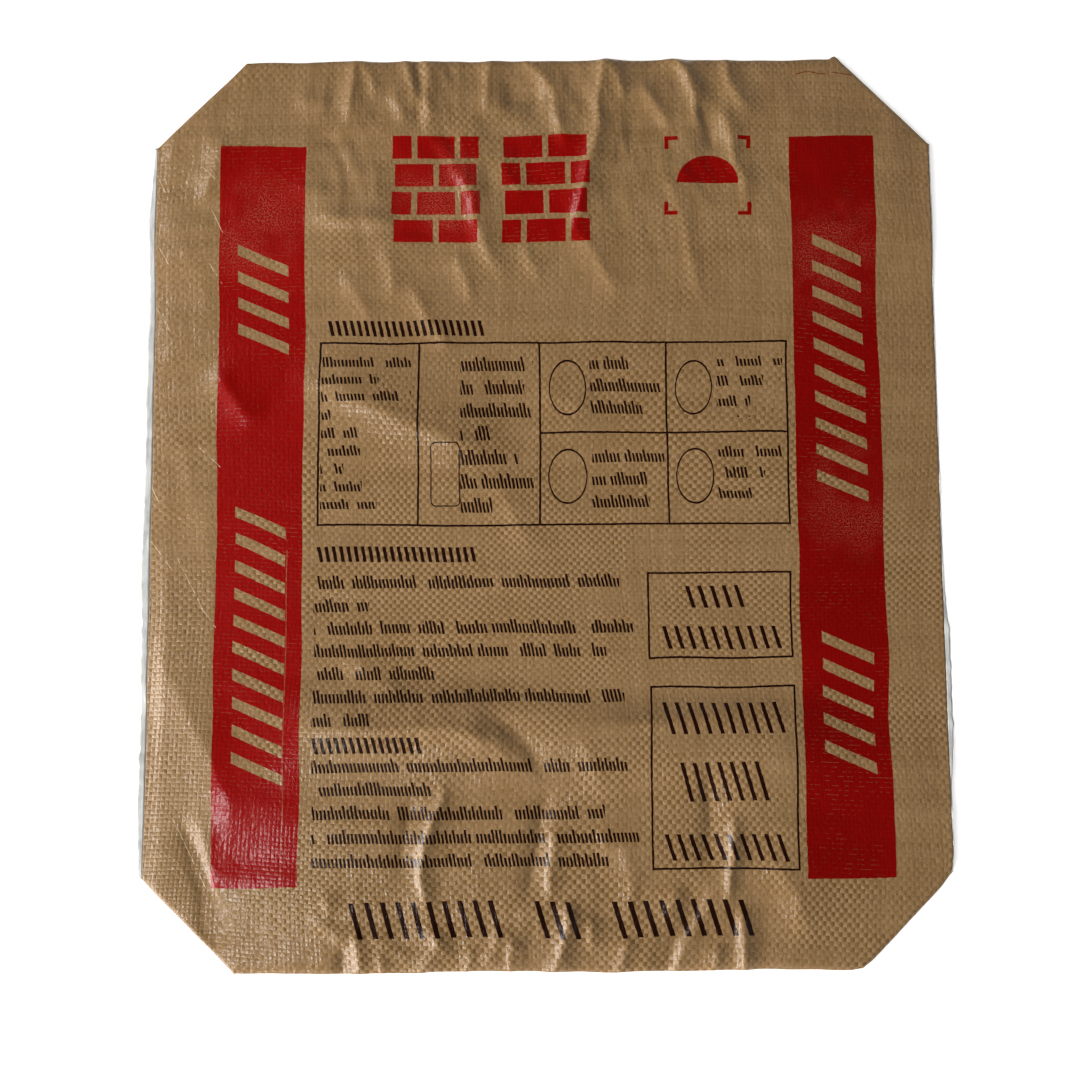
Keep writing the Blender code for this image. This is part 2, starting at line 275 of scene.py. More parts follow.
# Noise that wrinkles the cloth: the size of its features across and along the bag, and its layer
Wrinkles = namedtuple("Wrinkles", "across along layer")
FLUTES = Wrinkles(34 * MM, 85 * MM, 0)
SMALL_FLUTES = Wrinkles(17 * MM, 38 * MM, 1)
FINE_CRUMPLES = Wrinkles(9 * MM, 14 * MM, 2)
BROAD_SWELLS = Wrinkles(95 * MM, 120 * MM, 3)
LEVEL_WAVES = Wrinkles(170 * MM, 36 * MM, 4)
LEVEL_RIPPLES = Wrinkles(75 * MM, 11 * MM, 5)
BENDS = Wrinkles(45 * MM, 60 * MM, 7)
STRAY_ACROSS = Wrinkles(11 * MM, 16 * MM, 20)
STRAY_ALONG = Wrinkles(11 * MM, 16 * MM, 30)
UNEVEN_STEPS = Wrinkles(55 * MM, 40 * MM, 40)
SEED_LAYERS = 7.0  # layers of noise from one seed to the next

CROWN_FLATNESS = 2.5  # 2 is a round crown, more a flatter one
FLUTE_SHARE = 0.2  # shares of the height of the crumpling
SMALL_FLUTE_SHARE = 0.17
FINE_SHARE = 0.02
FINE_END_SHARE = 0.06  # what the ends add to that
RIPPLE_SHARE = 0.42  # height of the level ripples for that of the level waves
BEND_REACH = 9 * MM  # how far the wrinkles are bent sideways
WAVE_BEND = 0.5  # share of the bend that the level waves follow
RIPPLE_BEND = 0.3
TOP_ZONE = (115 * MM, 225 * MM)  # how far up the crumpling of the filling end begins, and where it is full
FOOT_ZONE = (200 * MM, 262 * MM)  # the same for the other end, downwards
CALM_SIDES = (120 * MM, 185 * MM)  # out from the middle, where the crumpling dies down
CALM_SHARE = 0.75  # and the share of it that is lost there
LEVEL_LOSS = 0.7  # share of the level waves that is lost where the ends crumple
FLUTE_LEAN = 0.33  # sideways run of a flute for its length
SIDE_EASE = (12 * MM, 30 * MM)  # over which the front panel comes down to the left and the right side fold
LOW_MARGINS = (150 * MM, 235 * MM)  # out from the middle, where the panel lies closer to the plies below
MARGIN_DROP = 0.6  # share of the lift it loses there
END_DROP = 1.2 * MM  # how far the panel falls away over the filling end
TOP_HEM = 228 * MM  # where that begins
FOOT_SWELL = 4.2 * MM  # height of the long swelling above the folded bottom
SWELL_RISE = (113 * MM, 137 * MM)  # down the panel, where it rises, and where it falls again
SWELL_FALL = (145 * MM, 190 * MM)
SWELL_SIDES = (140 * MM, 200 * MM)  # and out from the middle, where it ends
SWELL_BEND = 6 * MM  # how far its line bends up and down, and over what run
SWELL_BEND_RUN = 55 * MM

# The folded bottom shows through the front panel as low soft steps
TELEGRAPH_STEP = 9.0 * MM
TELEGRAPH_RISE = 0.24 * MM
TELEGRAPH_STRENGTH = 0.75  # their mean strength, round which it varies
VALVE_POINT = 31 * MM  # how far the valve sheet's corners are cut back, to follow the bag's own point


def smooth_step(value):
    """0 below 0, 1 above 1, and a smooth rise between."""
    share = np.clip(value, 0.0, 1.0)
    return share * share * (3.0 - 2.0 * share)


def between(value, low, high):
    """A smooth rise from 0 at low to 1 at high."""
    return smooth_step((value - low) / (high - low))


def noise_field(x, y, wrinkles, first_layer=0.0):
    """Perlin noise at every point, with features about as large as the wrinkles."""
    across, along, layer = wrinkles
    return np.array([noise.noise((px / across, py / along, first_layer + layer)) for px, py in zip(x, y)])


def crest_field(x, y, wrinkles, first_layer):
    """Noise with narrow crests and broad troughs, from about -1 to 1, as stiff film crumples."""
    return 1 - 4 * np.sqrt(noise_field(x, y, wrinkles, first_layer) ** 2 + CREST_ROUND ** 2)


def smooth_path(points):
    """A crease's points, with its corners rounded."""
    run = np.vstack((2 * points[0] - points[1], points, 2 * points[-1] - points[-2]))
    path = [points[0]]
    for before, start, end, after in zip(run, run[1:], run[2:], run[3:]):
        for share in np.linspace(0, 1, PATH_STEPS + 1)[1:]:
            bend = (2 * before - 5 * start + 4 * end - after) * share ** 2
            bend += (3 * start - before - 3 * end + after) * share ** 3
            path.append(start + 0.5 * ((end - before) * share + bend))
    return np.array(path)


def nearest_on_ridge(x, y, points):
    """For every point: its distance from a ridge, the run along the ridge to there, and how far off it is
    towards the gentle side. Then the length of the whole ridge."""
    best = np.full(x.shape, FAR)
    along = np.zeros(x.shape)
    away = np.zeros(x.shape)
    start = 0.0
    for (ax, ay), (dx, dy) in zip(points, points[1:] - points[:-1]):
        length = math.hypot(dx, dy)
        share = np.clip(((x - ax) * dx + (y - ay) * dy) / length ** 2, 0.0, 1.0)
        off_x = x - ax - share * dx
        off_y = y - ay - share * dy
        distance = np.hypot(off_x, off_y)
        closer = distance < best
        best = np.where(closer, distance, best)
        along = np.where(closer, start + share * length, along)
        away = np.where(closer, off_x * GENTLE_WAY[0] + off_y * GENTLE_WAY[1], away)
        start += length
    return best, along, away, start


def crease_field(x, y):
    """Height of the listed creases at every point, in metres."""
    total = np.zeros_like(x)
    x = x + CREASE_WANDER * noise_field(x, y, STRAY_ACROSS)
    y = y + CREASE_WANDER * noise_field(x, y, STRAY_ALONG)
    for crease in CREASES:
        points = smooth_path(np.array(crease.points, dtype=float) * MM)
        reach = CREASE_REACH * crease.reach * MM
        margin = RIDGE_TAIL * GENTLE_SIDE * reach
        near = (x > points[:, 0].min() - margin) & (x < points[:, 0].max() + margin)
        near &= (y > points[:, 1].min() - margin) & (y < points[:, 1].max() + margin)
        best, along, away, run = nearest_on_ridge(x[near], y[near], points)
        fade = CREASE_FADE * run
        first = 1.0 if abs(points[0, 1]) > RUNS_OUT else smooth_step(along / fade)
        last = 1.0 if abs(points[-1, 1]) > RUNS_OUT else smooth_step((run - along) / fade)
        gentle = 0.5 + 0.5 * away / np.maximum(best, TOLERANCE)
        width = reach * (1 + (GENTLE_SIDE - 1) * gentle)
        total[near] += crease.height * MM * first * last * np.exp(-((best / width) ** CREASE_SHARPNESS))
    return total


def low_step(distance):
    """The soft step over an edge that lies below the panel, from 0 before it to 1 past it."""
    return smooth_step(distance / TELEGRAPH_STEP + 0.5)


def inside_sheet(x, y, middle_x, middle_y, box):
    """1 over a sheet as large as a box, with soft steps at its edges."""
    across = low_step(span(box, 0) / 2 - np.abs(x - middle_x))
    return across * low_step(span(box, 1) / 2 - np.abs(y - middle_y))


def telegraph_field(x, y, sizes):
    """Low steps where the edges of the folded bottom lie under the front panel."""
    centre = sizes.length / 2 - sizes.bottom / 2
    out = np.abs(y)
    bottom = low_step(out - (centre - sizes.bottom / 2))
    ear = bottom * low_step(np.abs(x) - (sizes.width / 2 - sizes.bottom - sizes.lap / 2))
    overlap = low_step(sizes.lap / 2 - np.abs(out - centre))
    patch = inside_sheet(x, out, 0.0, centre, PATCH_BOX)
    valve_x, valve_y = ((low + high) / 2 for low, high in zip(*(corner[:2] for corner in VALVE_BOX)))
    valve = inside_sheet(x, y, valve_x, valve_y, VALVE_BOX)
    strength = TELEGRAPH_STRENGTH + noise_field(x, y, UNEVEN_STEPS)
    return TELEGRAPH_RISE * strength * (bottom + ear + overlap + patch + valve)


def body_blend(y, sizes):
    """1 on the two bottoms and 0 on the body between them, with a smooth rise from one to the other."""
    inner = sizes.length / 2 - sizes.bottom
    return smooth_step((np.abs(y) - (inner - STEP_LENGTH)) / STEP_LENGTH)


def back_level(y, sizes):
    """Middle of the back panel above the floor."""
    return (BODY_LEVEL + (PLY_LEVELS[BACK] - BODY_LEVEL) * body_blend(y, sizes)) * MM


def front_level(x, y, sizes, creasing):
    """Middle of the front panel above the floor, with its crown, creases, crumpling and the plies below."""
    half_width = sizes.width / 2
    out = np.abs(x)
    crown = np.clip(1 - (out / half_width) ** CROWN_FLATNESS, 0, 1) * (1 - body_blend(y, sizes))
    ends = np.where(y > 0, between(y, *TOP_ZONE), between(-y, *FOOT_ZONE))
    ends = ends * (1 - CALM_SHARE * between(out, *CALM_SIDES))
    inside = smooth_step((half_width - out) / np.where(x < 0, *SIDE_EASE))
    seed = creasing.seed * SEED_LAYERS
    bend = BEND_REACH * noise_field(x, y, BENDS, seed)
    leaning = x + FLUTE_LEAN * np.abs(y) + bend
    crumples = FLUTE_SHARE * crest_field(leaning, y, FLUTES, seed)
    crumples += SMALL_FLUTE_SHARE * crest_field(leaning + bend, y, SMALL_FLUTES, seed)
    crumples = crumples * ends
    crumples += (FINE_SHARE + FINE_END_SHARE * ends) * crest_field(x + bend, y, FINE_CRUMPLES, seed)
    level = noise_field(x, y + WAVE_BEND * bend, LEVEL_WAVES, seed)
    level += RIPPLE_SHARE * noise_field(x, y + RIPPLE_BEND * bend, LEVEL_RIPPLES, seed)
    broad = noise_field(x, y, BROAD_SWELLS, seed) + (1 - LEVEL_LOSS * ends) * level
    down = -y - SWELL_BEND * np.sin(x / SWELL_BEND_RUN)
    foot = between(down, *SWELL_RISE) * (1 - between(down, *SWELL_FALL)) * (1 - between(out, *SWELL_SIDES))
    rise = creasing.creases * crease_field(x, y) + telegraph_field(x, y, sizes)
    rise += creasing.lift * (1 - MARGIN_DROP * between(out, *LOW_MARGINS))
    rise += creasing.crumple * crumples + creasing.swell * broad + FOOT_SWELL * foot
    rise -= END_DROP * between(y, TOP_HEM, sizes.length / 2)
    gap = (PLY_LEVELS[FRONT] - PLY_LEVELS[BACK]) * MM + creasing.crown * crown + rise * inside
    return back_level(y, sizes) + np.maximum(gap, LEAST_GAP)


def fold_pattern(flat_x, flat_y, on_back, sizes, creasing):
    """Where every point of the flat tube lies in the folded bag. The front panel's flat pattern is its plan,
    and the back panel's runs on from the right side fold."""
    half_width = sizes.width / 2
    half_length = sizes.length / 2
    half_bottom = sizes.bottom / 2
    centre = half_length - half_bottom
    inner = centre - half_bottom
    plan_x = np.where(on_back, sizes.width - flat_x, flat_x)
    side = np.where(plan_x < 0, -1.0, 1.0)
    end = np.where(flat_y < 0, -1.0, 1.0)
    from_side = half_width - np.abs(plan_x)
    past_centre = np.abs(flat_y) - centre
    ear = past_centre > from_side + TOLERANCE
    turned = past_centre > TOLERANCE

    x = np.where(ear, half_width - past_centre, np.abs(plan_x))
    y_front = np.where(ear, centre + from_side, np.abs(flat_y))
    y_back = np.where(ear, centre - from_side, np.where(turned, centre - past_centre, np.abs(flat_y)))
    front_flap = y_front > half_length + TOLERANCE
    back_flap = turned & (y_back < inner - TOLERANCE)
    y_front = np.where(front_flap, 2 * half_length - y_front, y_front)
    y_back = np.where(back_flap, 2 * inner - y_back, y_back)
    y = np.where(on_back, y_back, y_front)

    front_facet = np.where(
        ear, np.where(front_flap, FRONT_HEM, FRONT_EAR), np.where(front_flap, FRONT_FLAP, FRONT)
    )
    back_facet = np.where(
        ear,
        np.where(back_flap, BACK_HEM, BACK_EAR),
        np.where(back_flap, BACK_FLAP, np.where(turned, BACK_TURN, BACK)),
    )
    facet = np.where(on_back, back_facet, front_facet)
    x = x * side
    y = y * end

    levels = {key: np.full(x.shape, value * MM) for key, value in PLY_LEVELS.items()}
    levels[BACK] = back_level(y, sizes)
    levels[FRONT] = front_level(x, y, sizes, creasing)
    diagonal = np.abs(from_side - past_centre) / math.sqrt(2)
    to_flap = np.abs(past_centre - half_bottom)
    to_hem = np.abs(from_side - half_bottom)
    at_side = past_centre <= 0
    folds = (
        (FRONT, BACK, np.where(at_side, from_side, FAR)),
        (FRONT, FRONT_EAR, np.where(at_side, FAR, diagonal)),
        (FRONT, FRONT_FLAP, to_flap),
        (FRONT_FLAP, FRONT_HEM, diagonal),
        (FRONT_EAR, FRONT_HEM, to_hem),
        (BACK, BACK_TURN, np.abs(past_centre)),
        (BACK_TURN, BACK_EAR, diagonal),
        (BACK_TURN, BACK_FLAP, to_flap),
        (BACK_FLAP, BACK_HEM, diagonal),
        (BACK_EAR, BACK_HEM, to_hem),
    )
    own = np.choose(facet, [levels[key] for key in range(len(PLY_LEVELS))])
    nearest = np.full(x.shape, FAR)
    other = own.copy()
    for first, second, distance in folds:
        for here, there in ((first, second), (second, first)):
            closer = (facet == here) & (distance < nearest)
            nearest = np.where(closer, distance, nearest)
            other = np.where(closer, levels[there], other)
    reach = FOLD_ROUND + FOLD_ROUND_SHARE * np.abs(other - own)
    left_over = 1 - np.sqrt(1 - (1 - np.clip(nearest / reach, 0, 1)) ** 2)  # a quarter of a circle
    z = own + (other - own) / 2 * left_over
    return x, y, z


# Corners of the outline that are pulled out or in: where, how far round, and the pull sideways and lengthways
CORNER_PULLS = (
    (190 * MM, 290 * MM, 2.2 * MM, 0.0, 2.6 * MM),
    (193 * MM, -290 * MM, 5.0 * MM, -0.8 * MM, 0.8 * MM),
    (250 * MM, -233 * MM, 8.0 * MM, -1.2 * MM, 0.8 * MM),
)
SWAY_SIDES = (0.55, 1.0)  # shares of the half width over which the sideways sway grows
SWAY_ENDS = (0.7, 1.0)  # and of the half length for the lengthways sway
SIDE_SWAY_STEP = 70 * MM
END_SWAY_STEP = 24 * MM
SLOW_SWAY_STEP = 85 * MM
SIDE_SWAY = 1.1  # how strong each sway is, for the edge wave
SLOW_SWAY = 1.3
SWAY_LAYERS = 11.0  # layers of noise from one seed to the next
SLOW_LAYER = 5


def edge_noise(run, step, row, layer):
    """Noise along an edge, with its own row of noise for each edge."""
    return np.array([noise.noise((place / step, edge, layer)) for place, edge in zip(run, row)])


def sway(x, y, sizes, creasing):
    """How far each point of the outline wanders in the plan. All plies wander together."""
    layer = creasing.seed * SWAY_LAYERS
    to_side = between(np.abs(x) / (sizes.width / 2), *SWAY_SIDES)
    to_end = between(np.abs(y) / (sizes.length / 2), *SWAY_ENDS)
    side = np.where(x < 0, 1.0, 2.0)
    end = np.where(y < 0, 3.0, 4.0)
    sideways = SIDE_SWAY * edge_noise(y, SIDE_SWAY_STEP, side, layer)
    lengthways = edge_noise(x, END_SWAY_STEP, end, layer)
    lengthways += SLOW_SWAY * edge_noise(x, SLOW_SWAY_STEP, end, layer + SLOW_LAYER)
    dx = creasing.edge_wave * sideways * to_side
    dy = creasing.edge_wave * lengthways * to_end
    for centre_x, centre_y, reach, shift_x, shift_y in CORNER_PULLS:
        share = np.exp(-(((x - centre_x) ** 2 + (y - centre_y) ** 2) / reach ** 2))
        dx = dx + shift_x * share
        dy = dy + shift_y * share
    return dx, dy


def finish_object(name, mesh, material, nodes, smooth=True):
    """The object for a finished bmesh, riding with the bag in place of its plain solid."""
    data = bpy.data.meshes.new(name)
    mesh.to_mesh(data)
    mesh.free()
    if smooth:
        data.shade_smooth()
    data.materials.append(material)
    obj = bpy.data.objects.new(name, data)
    bpy.context.scene.collection.objects.link(obj)
    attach(obj, BODY)
    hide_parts(*nodes)
    return obj


def write_pattern_map(mesh, low_x, low_y):
    """The cloth's own map: one unit of the map is one metre of cloth."""
    layer = mesh.loops.layers.uv.new(PATTERN_MAP)
    for face in mesh.faces:
        for loop in face.loops:
            loop[layer].uv = (loop.vert.co.x - low_x, loop.vert.co.y - low_y)


def cut(mesh, point, normal, keep=None):
    """Adds a line of edges where a plane crosses the mesh, or the faces that keep() picks."""
    faces = [face for face in mesh.faces if keep is None or keep(face.calc_center_median())]
    edges = {edge for face in faces for edge in face.edges}
    verts = {vert for face in faces for vert in face.verts}
    bmesh.ops.bisect_plane(
        mesh, geom=[*verts, *edges, *faces], dist=CUT_TOLERANCE, plane_co=(*point, 0), plane_no=(*normal, 0)
    )


def flat_tube(sizes):
    """The flat pattern of the tube: the front panel, and the back panel to the right of it."""
    half_width = sizes.width / 2
    half_length = sizes.length / 2
    half_bottom = sizes.bottom / 2
    half_cut = half_length + half_bottom + sizes.lap / 2
    centre = half_length - half_bottom
    rows = round(2 * half_cut / sizes.mesh_along)
    columns = round(sizes.width / sizes.mesh_across)
    mesh = bmesh.new()
    for middle, count in ((0.0, columns), (sizes.width, columns // BACK_COARSENESS)):
        made = bmesh.ops.create_grid(mesh, x_segments=count, y_segments=rows, size=0.5)["verts"]
        bmesh.ops.scale(mesh, vec=(sizes.width, 2 * half_cut, 1), verts=made)
        bmesh.ops.translate(mesh, vec=(middle, 0, 0), verts=made)
    beside_fold = (*NEAR_FOLD, *(-near for near in NEAR_FOLD))
    slants = (0.0, *(math.sqrt(2) * near for near in beside_fold))
    for middle in (0.0, sizes.width):
        for side in (-1, 1):
            edge_x = middle + side * half_width
            for end in (-1, 1):

                def in_corner(point, edge_x=edge_x, end=end, middle=middle):
                    beside = abs(point.x - edge_x) < half_cut - centre
                    return beside and point.y * end > centre and abs(point.x - middle) < half_width

                for slant in slants:
                    cut(mesh, (edge_x + slant, end * centre), (1, side * end), in_corner)
            for inset in (half_bottom, *NEAR_FOLD):
                cut(mesh, (edge_x - side * inset, 0), (1, 0), lambda p, m=middle: abs(p.x - m) < half_width)
    for end in (-1, 1):
        for offset in beside_fold:
            cut(mesh, (0, end * (half_length + offset)), (0, 1))
    write_pattern_map(mesh, -half_width, -half_cut)
    return mesh


def make_tube(sizes, creasing, material):
    """Folds the flat pattern into the bag, and joins its two long edges."""
    mesh = flat_tube(sizes)
    half_width = sizes.width / 2
    back_faces = [face for face in mesh.faces if face.calc_center_median().x > half_width]
    on_back_verts = {vert for face in back_faces for vert in face.verts}
    mesh.verts.ensure_lookup_table()
    flat_x = np.array([vert.co.x for vert in mesh.verts])
    flat_y = np.array([vert.co.y for vert in mesh.verts])
    on_back = np.array([vert in on_back_verts for vert in mesh.verts])
    x, y, z = fold_pattern(flat_x, flat_y, on_back, sizes, creasing)
    dx, dy = sway(x, y, sizes, creasing)
    for vert, place in zip(mesh.verts, zip(x + dx, y + dy, z)):
        vert.co = place
    bmesh.ops.remove_doubles(mesh, verts=mesh.verts[:], dist=JOIN_REACH)
    tube = finish_object("woven_tube", mesh, material, ["bag_tube"])
    return tube


SHEET_CELL = 10 * MM  # mesh of the patches and the valve sheet
CUT_WANDER = 0.5 * MM  # how far their cut edges wander, and over what run
CUT_WANDER_RUN = 30 * MM
CUT_LAYERS = 10  # layers of noise for each metre between two sheets


def thicken(mesh, thickness, flip):
    """Gives a mesh without thickness its own."""
    if flip:
        for face in mesh.faces:
            face.normal_flip()
    bmesh.ops.solidify(mesh, geom=mesh.faces[:], thickness=thickness)
    bmesh.ops.recalc_face_normals(mesh, faces=mesh.faces[:])


def make_flat_sheet(name, box, height, sizes, material, node, point=0.0):
    """A small flat sheet of cloth with slightly uneven cut edges. A point cuts its two right corners off."""
    width = span(box, 0)
    length = span(box, 1)
    middle_x = (box[0][0] + box[1][0]) / 2
    middle_y = (box[0][1] + box[1][1]) / 2
    columns = round(width / SHEET_CELL)
    rows = round(length / SHEET_CELL)
    mesh = bmesh.new()
    bmesh.ops.create_grid(mesh, x_segments=columns, y_segments=rows, size=0.5)
    bmesh.ops.scale(mesh, vec=(width, length, 1), verts=mesh.verts[:])
    area = width * length
    if point:
        for end in (-1, 1):
            bmesh.ops.bisect_plane(
                mesh,
                geom=[*mesh.verts, *mesh.edges, *mesh.faces],
                dist=CUT_TOLERANCE,
                plane_co=Vector((width / 2, end * (length / 2 - point), 0)),
                plane_no=Vector((1, end, 0)).normalized(),
                clear_outer=True,
            )
        area -= point ** 2
    write_pattern_map(mesh, -width / 2, -length / 2)
    for vert in mesh.verts:
        x, y = vert.co.x, vert.co.y
        wander = noise.noise((x / CUT_WANDER_RUN, y / CUT_WANDER_RUN, middle_y * CUT_LAYERS))
        vert.co = (x + middle_x, y * (1 + CUT_WANDER * wander / length) + middle_y, height)
    thicken(mesh, sizes.ply, flip=True)
    sheet = finish_object(name, mesh, material, [node], smooth=False)
    return sheet


def side_fold_level(y, sizes, creasing):
    """Height of a side fold, where its coating fin grows out."""
    front = front_level(np.full(y.shape, sizes.width / 2), y, sizes, creasing)
    return (front + back_level(y, sizes)) / 2


# Fins: share of the full width along the bag, from the bottom end to the filling end
FIN_PROFILES = {
    "left": (0.45, 0.9, 0.75, 0.8, 1.2, 0.95, 0.95, 0.9, 0.75, 0.8, 0.3),
    "right": (0.1, 0.15, 0.65, 0.62, 0.2, 0.1, 0.1, 0.1, 0.12, 0.14, 0.1),
}
FIN_WIDTH = 5 * MM
FIN_COLUMNS = 4
FIN_ROWS = 310
FIN_TUCK = 0.25 * MM  # how far a fin starts inside its side fold
FIN_FLOOR = 0.15 * MM  # its least height above the floor
FIN_SLACK = 0.35  # how loose it hangs at the filling end, where the bottom end has 1
FIN_NOISE_ROW = 3.0
FIN_RIPPLE_STEP = 6 * MM
FIN_RIPPLE_LAYER = 1.0
FIN_RIPPLE_WIDTH = 0.16  # share of the width that the ripples add or take away
FIN_RIPPLE_RISE = 0.6 * MM
FIN_WAVE_STEP = 19 * MM
FIN_WAVE_LAYER = 5.0
FIN_WAVE_WIDTH = 0.1
FIN_WAVE_RISE = 1.1 * MM


def make_fin(side_name, sign, sizes, creasing, material):
    """A strip of milky film along one side fold, wavy at its free edge."""
    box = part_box("coating_fin_" + side_name)
    length = span(box, 1)
    profile = np.array(FIN_PROFILES[side_name])
    mesh = bmesh.new()
    bmesh.ops.create_grid(mesh, x_segments=FIN_COLUMNS, y_segments=FIN_ROWS, size=0.5)
    bmesh.ops.scale(mesh, vec=(FIN_WIDTH, length, 1), verts=mesh.verts[:])
    write_pattern_map(mesh, -FIN_WIDTH / 2, -length / 2)
    out = np.array([vert.co.x / FIN_WIDTH + 0.5 for vert in mesh.verts])
    y = np.array([vert.co.y for vert in mesh.verts])
    fold = side_fold_level(y, sizes, creasing)
    dx, dy = sway(np.full(y.shape, sign * sizes.width / 2), y, sizes, creasing)

    station = (y / length + 0.5) * (len(profile) - 1)
    lower = np.clip(station.astype(int), 0, len(profile) - 2)
    share = smooth_step(station - lower)
    width = FIN_WIDTH * (profile[lower] * (1 - share) + profile[lower + 1] * share)
    slack = FIN_SLACK + (1 - FIN_SLACK) * smooth_step(0.5 - 2 * y / length)
    row = np.full(y.shape, sign * FIN_NOISE_ROW)
    ripple = edge_noise(y, FIN_RIPPLE_STEP, row, FIN_RIPPLE_LAYER)
    wave = edge_noise(y, FIN_WAVE_STEP, row, FIN_WAVE_LAYER)
    width = width * (1 + FIN_RIPPLE_WIDTH * slack * ripple + FIN_WAVE_WIDTH * wave)
    reach = -FIN_TUCK + out * (width + FIN_TUCK)
    level = fold + out * slack * (FIN_WAVE_RISE * wave + FIN_RIPPLE_RISE * ripple)
    place_x = sign * (sizes.width / 2 + reach) + dx
    for vert, place in zip(mesh.verts, zip(place_x, y + dy, np.maximum(level, FIN_FLOOR))):
        vert.co = place
    thicken(mesh, sizes.film, flip=sign < 0)
    node = "coating_fin_" + side_name
    return finish_object("film_fin_" + side_name, mesh, material, [node])


# Layout of the nodes in the node editor
FIRST_NODE = (-3200, 800)
NODE_SPACING = (200, -190)
NODE_COLUMNS = 14
NOISE_MIDDLE = (0.5, 0.5, 0.5)  # mean of the coloured noise


class NodeSheet:
    """Adds nodes to one material and hands back their output sockets."""

    def __init__(self, tree):
        self.tree = tree
        self.count = 0

    def add(self, kind, **settings):
        """Adds a node after the last one."""
        node = self.tree.nodes.new(kind)
        row, column = divmod(self.count, NODE_COLUMNS)
        node.location = (FIRST_NODE[0] + NODE_SPACING[0] * column, FIRST_NODE[1] + NODE_SPACING[1] * row)
        self.count += 1
        for name, value in settings.items():
            setattr(node, name, value)
        return node

    def plug(self, node, key, value):
        """Links a socket, or sets a plain value."""
        if isinstance(value, bpy.types.NodeSocket):
            self.tree.links.new(value, node.inputs[key])
        else:
            node.inputs[key].default_value = value

    def result(self, kind, values, output=0, **settings):
        """Adds a node, plugs its inputs by place or name, and hands back one output."""
        node = self.add(kind, **settings)
        for key, value in values.items():
            self.plug(node, key, value)
        return node.outputs[output]

    def math(self, operation, *values):
        """Arithmetic on plain values."""
        return self.result("ShaderNodeMath", dict(enumerate(values)), operation=operation)

    def times(self, first, second):
        """The product of two values."""
        return self.math("MULTIPLY", first, second)

    def minus(self, first, second):
        """The first value less the second."""
        return self.math("SUBTRACT", first, second)

    def vector(self, operation, *values):
        """Arithmetic on vectors."""
        output = "Value" if operation in ("LENGTH", "DISTANCE", "DOT_PRODUCT") else "Vector"
        return self.result("ShaderNodeVectorMath", dict(enumerate(values)), output, operation=operation)

    def scale_vector(self, value, factors):
        """A vector with its own factor for each axis."""
        return self.vector("MULTIPLY", value, factors)

    def combine(self, x=0.0, y=0.0, z=0.0):
        """A vector from its three parts."""
        return self.result("ShaderNodeCombineXYZ", dict(enumerate((x, y, z))))

    def split(self, value):
        """The first two parts of a vector."""
        node = self.add("ShaderNodeSeparateXYZ")
        self.plug(node, 0, value)
        return node.outputs[0], node.outputs[1]

    def noise(self, position, scale, detail=2.0, roughness=0.5, output=0):
        """Smooth noise. Output 1 is the coloured one."""
        values = {"Vector": position, "Scale": scale, "Detail": detail, "Roughness": roughness}
        return self.result("ShaderNodeTexNoise", values, output, noise_dimensions="2D")

    def stretched_noise(self, position, factors, detail=1.0, roughness=0.5):
        """Smooth noise with its own number of features to the metre for each axis."""
        return self.noise(self.scale_vector(position, factors), 1.0, detail, roughness)

    def stray(self, position, settings, reach):
        """A shift in the plane that wanders from place to place."""
        drift = self.vector("SUBTRACT", self.noise(position, *settings, output=1), NOISE_MIDDLE)
        return self.scale_vector(drift, (reach, reach, 0.0))

    def white(self, value):
        """A random number for every value."""
        return self.result("ShaderNodeTexWhiteNoise", {"W": value}, "Value", noise_dimensions="1D")

    def remap(self, value, low, high, to_low=0.0, to_high=1.0, kind="LINEAR"):
        """A value moved from one range to another, and held inside it."""
        values = dict(enumerate((value, low, high, to_low, to_high)))
        return self.result("ShaderNodeMapRange", values, interpolation_type=kind)

    def steps(self, value, stops):
        """Looks a value up in a list of (place, level) steps."""
        node = self.add("ShaderNodeValToRGB")
        ramp = node.color_ramp
        ramp.interpolation = "CONSTANT"
        while len(ramp.elements) < len(stops):
            ramp.elements.new(1.0)
        for element, (place, level) in zip(ramp.elements, stops):
            element.position = place
            element.color = (level, level, level, 1.0)
        self.plug(node, 0, value)
        return node.outputs["Color"]

    def mix(self, factor, first, second):
        """A blend of two colours."""
        colours = ((*value, 1.0) if isinstance(value, tuple) else value for value in (first, second))
        return self.result("ShaderNodeMix", dict(zip((0, 6, 7), (factor, *colours))), 2, data_type="RGBA")

    def mix_value(self, factor, first, second):
        """A blend of two values."""
        return self.result("ShaderNodeMix", {0: factor, 2: first, 3: second}, data_type="FLOAT")

    def any_of(self, *masks):
        """The highest of several masks."""
        highest = masks[0]
        for mask in masks[1:]:
            highest = self.math("MAXIMUM", highest, mask)
        return highest

    def within(self, value, low, high):
        """1 from low to high."""
        return self.math("COMPARE", value, (low + high) / 2, (high - low) / 2)

    def rectangle(self, x, y, place):
        """1 inside a rectangle given as left, right, low, high."""
        left, right, low, high = place
        return self.times(self.within(x, left, right), self.within(y, low, high))

    def frame(self, x, y, place, line):
        """1 on the outline of a rectangle, a line wide."""
        left, right, low, high = place
        inside = (left + line, right - line, low + line, high - line)
        return self.minus(self.rectangle(x, y, place), self.rectangle(x, y, inside))

    def oval_reach(self, place, centre, radii):
        """How far out a place lies in an oval, where 1 is its edge."""
        offset = self.vector("SUBTRACT", place, (*centre, 0.0))
        return self.vector("LENGTH", self.scale_vector(offset, (1 / radii[0], 1 / radii[1], 0.0)))

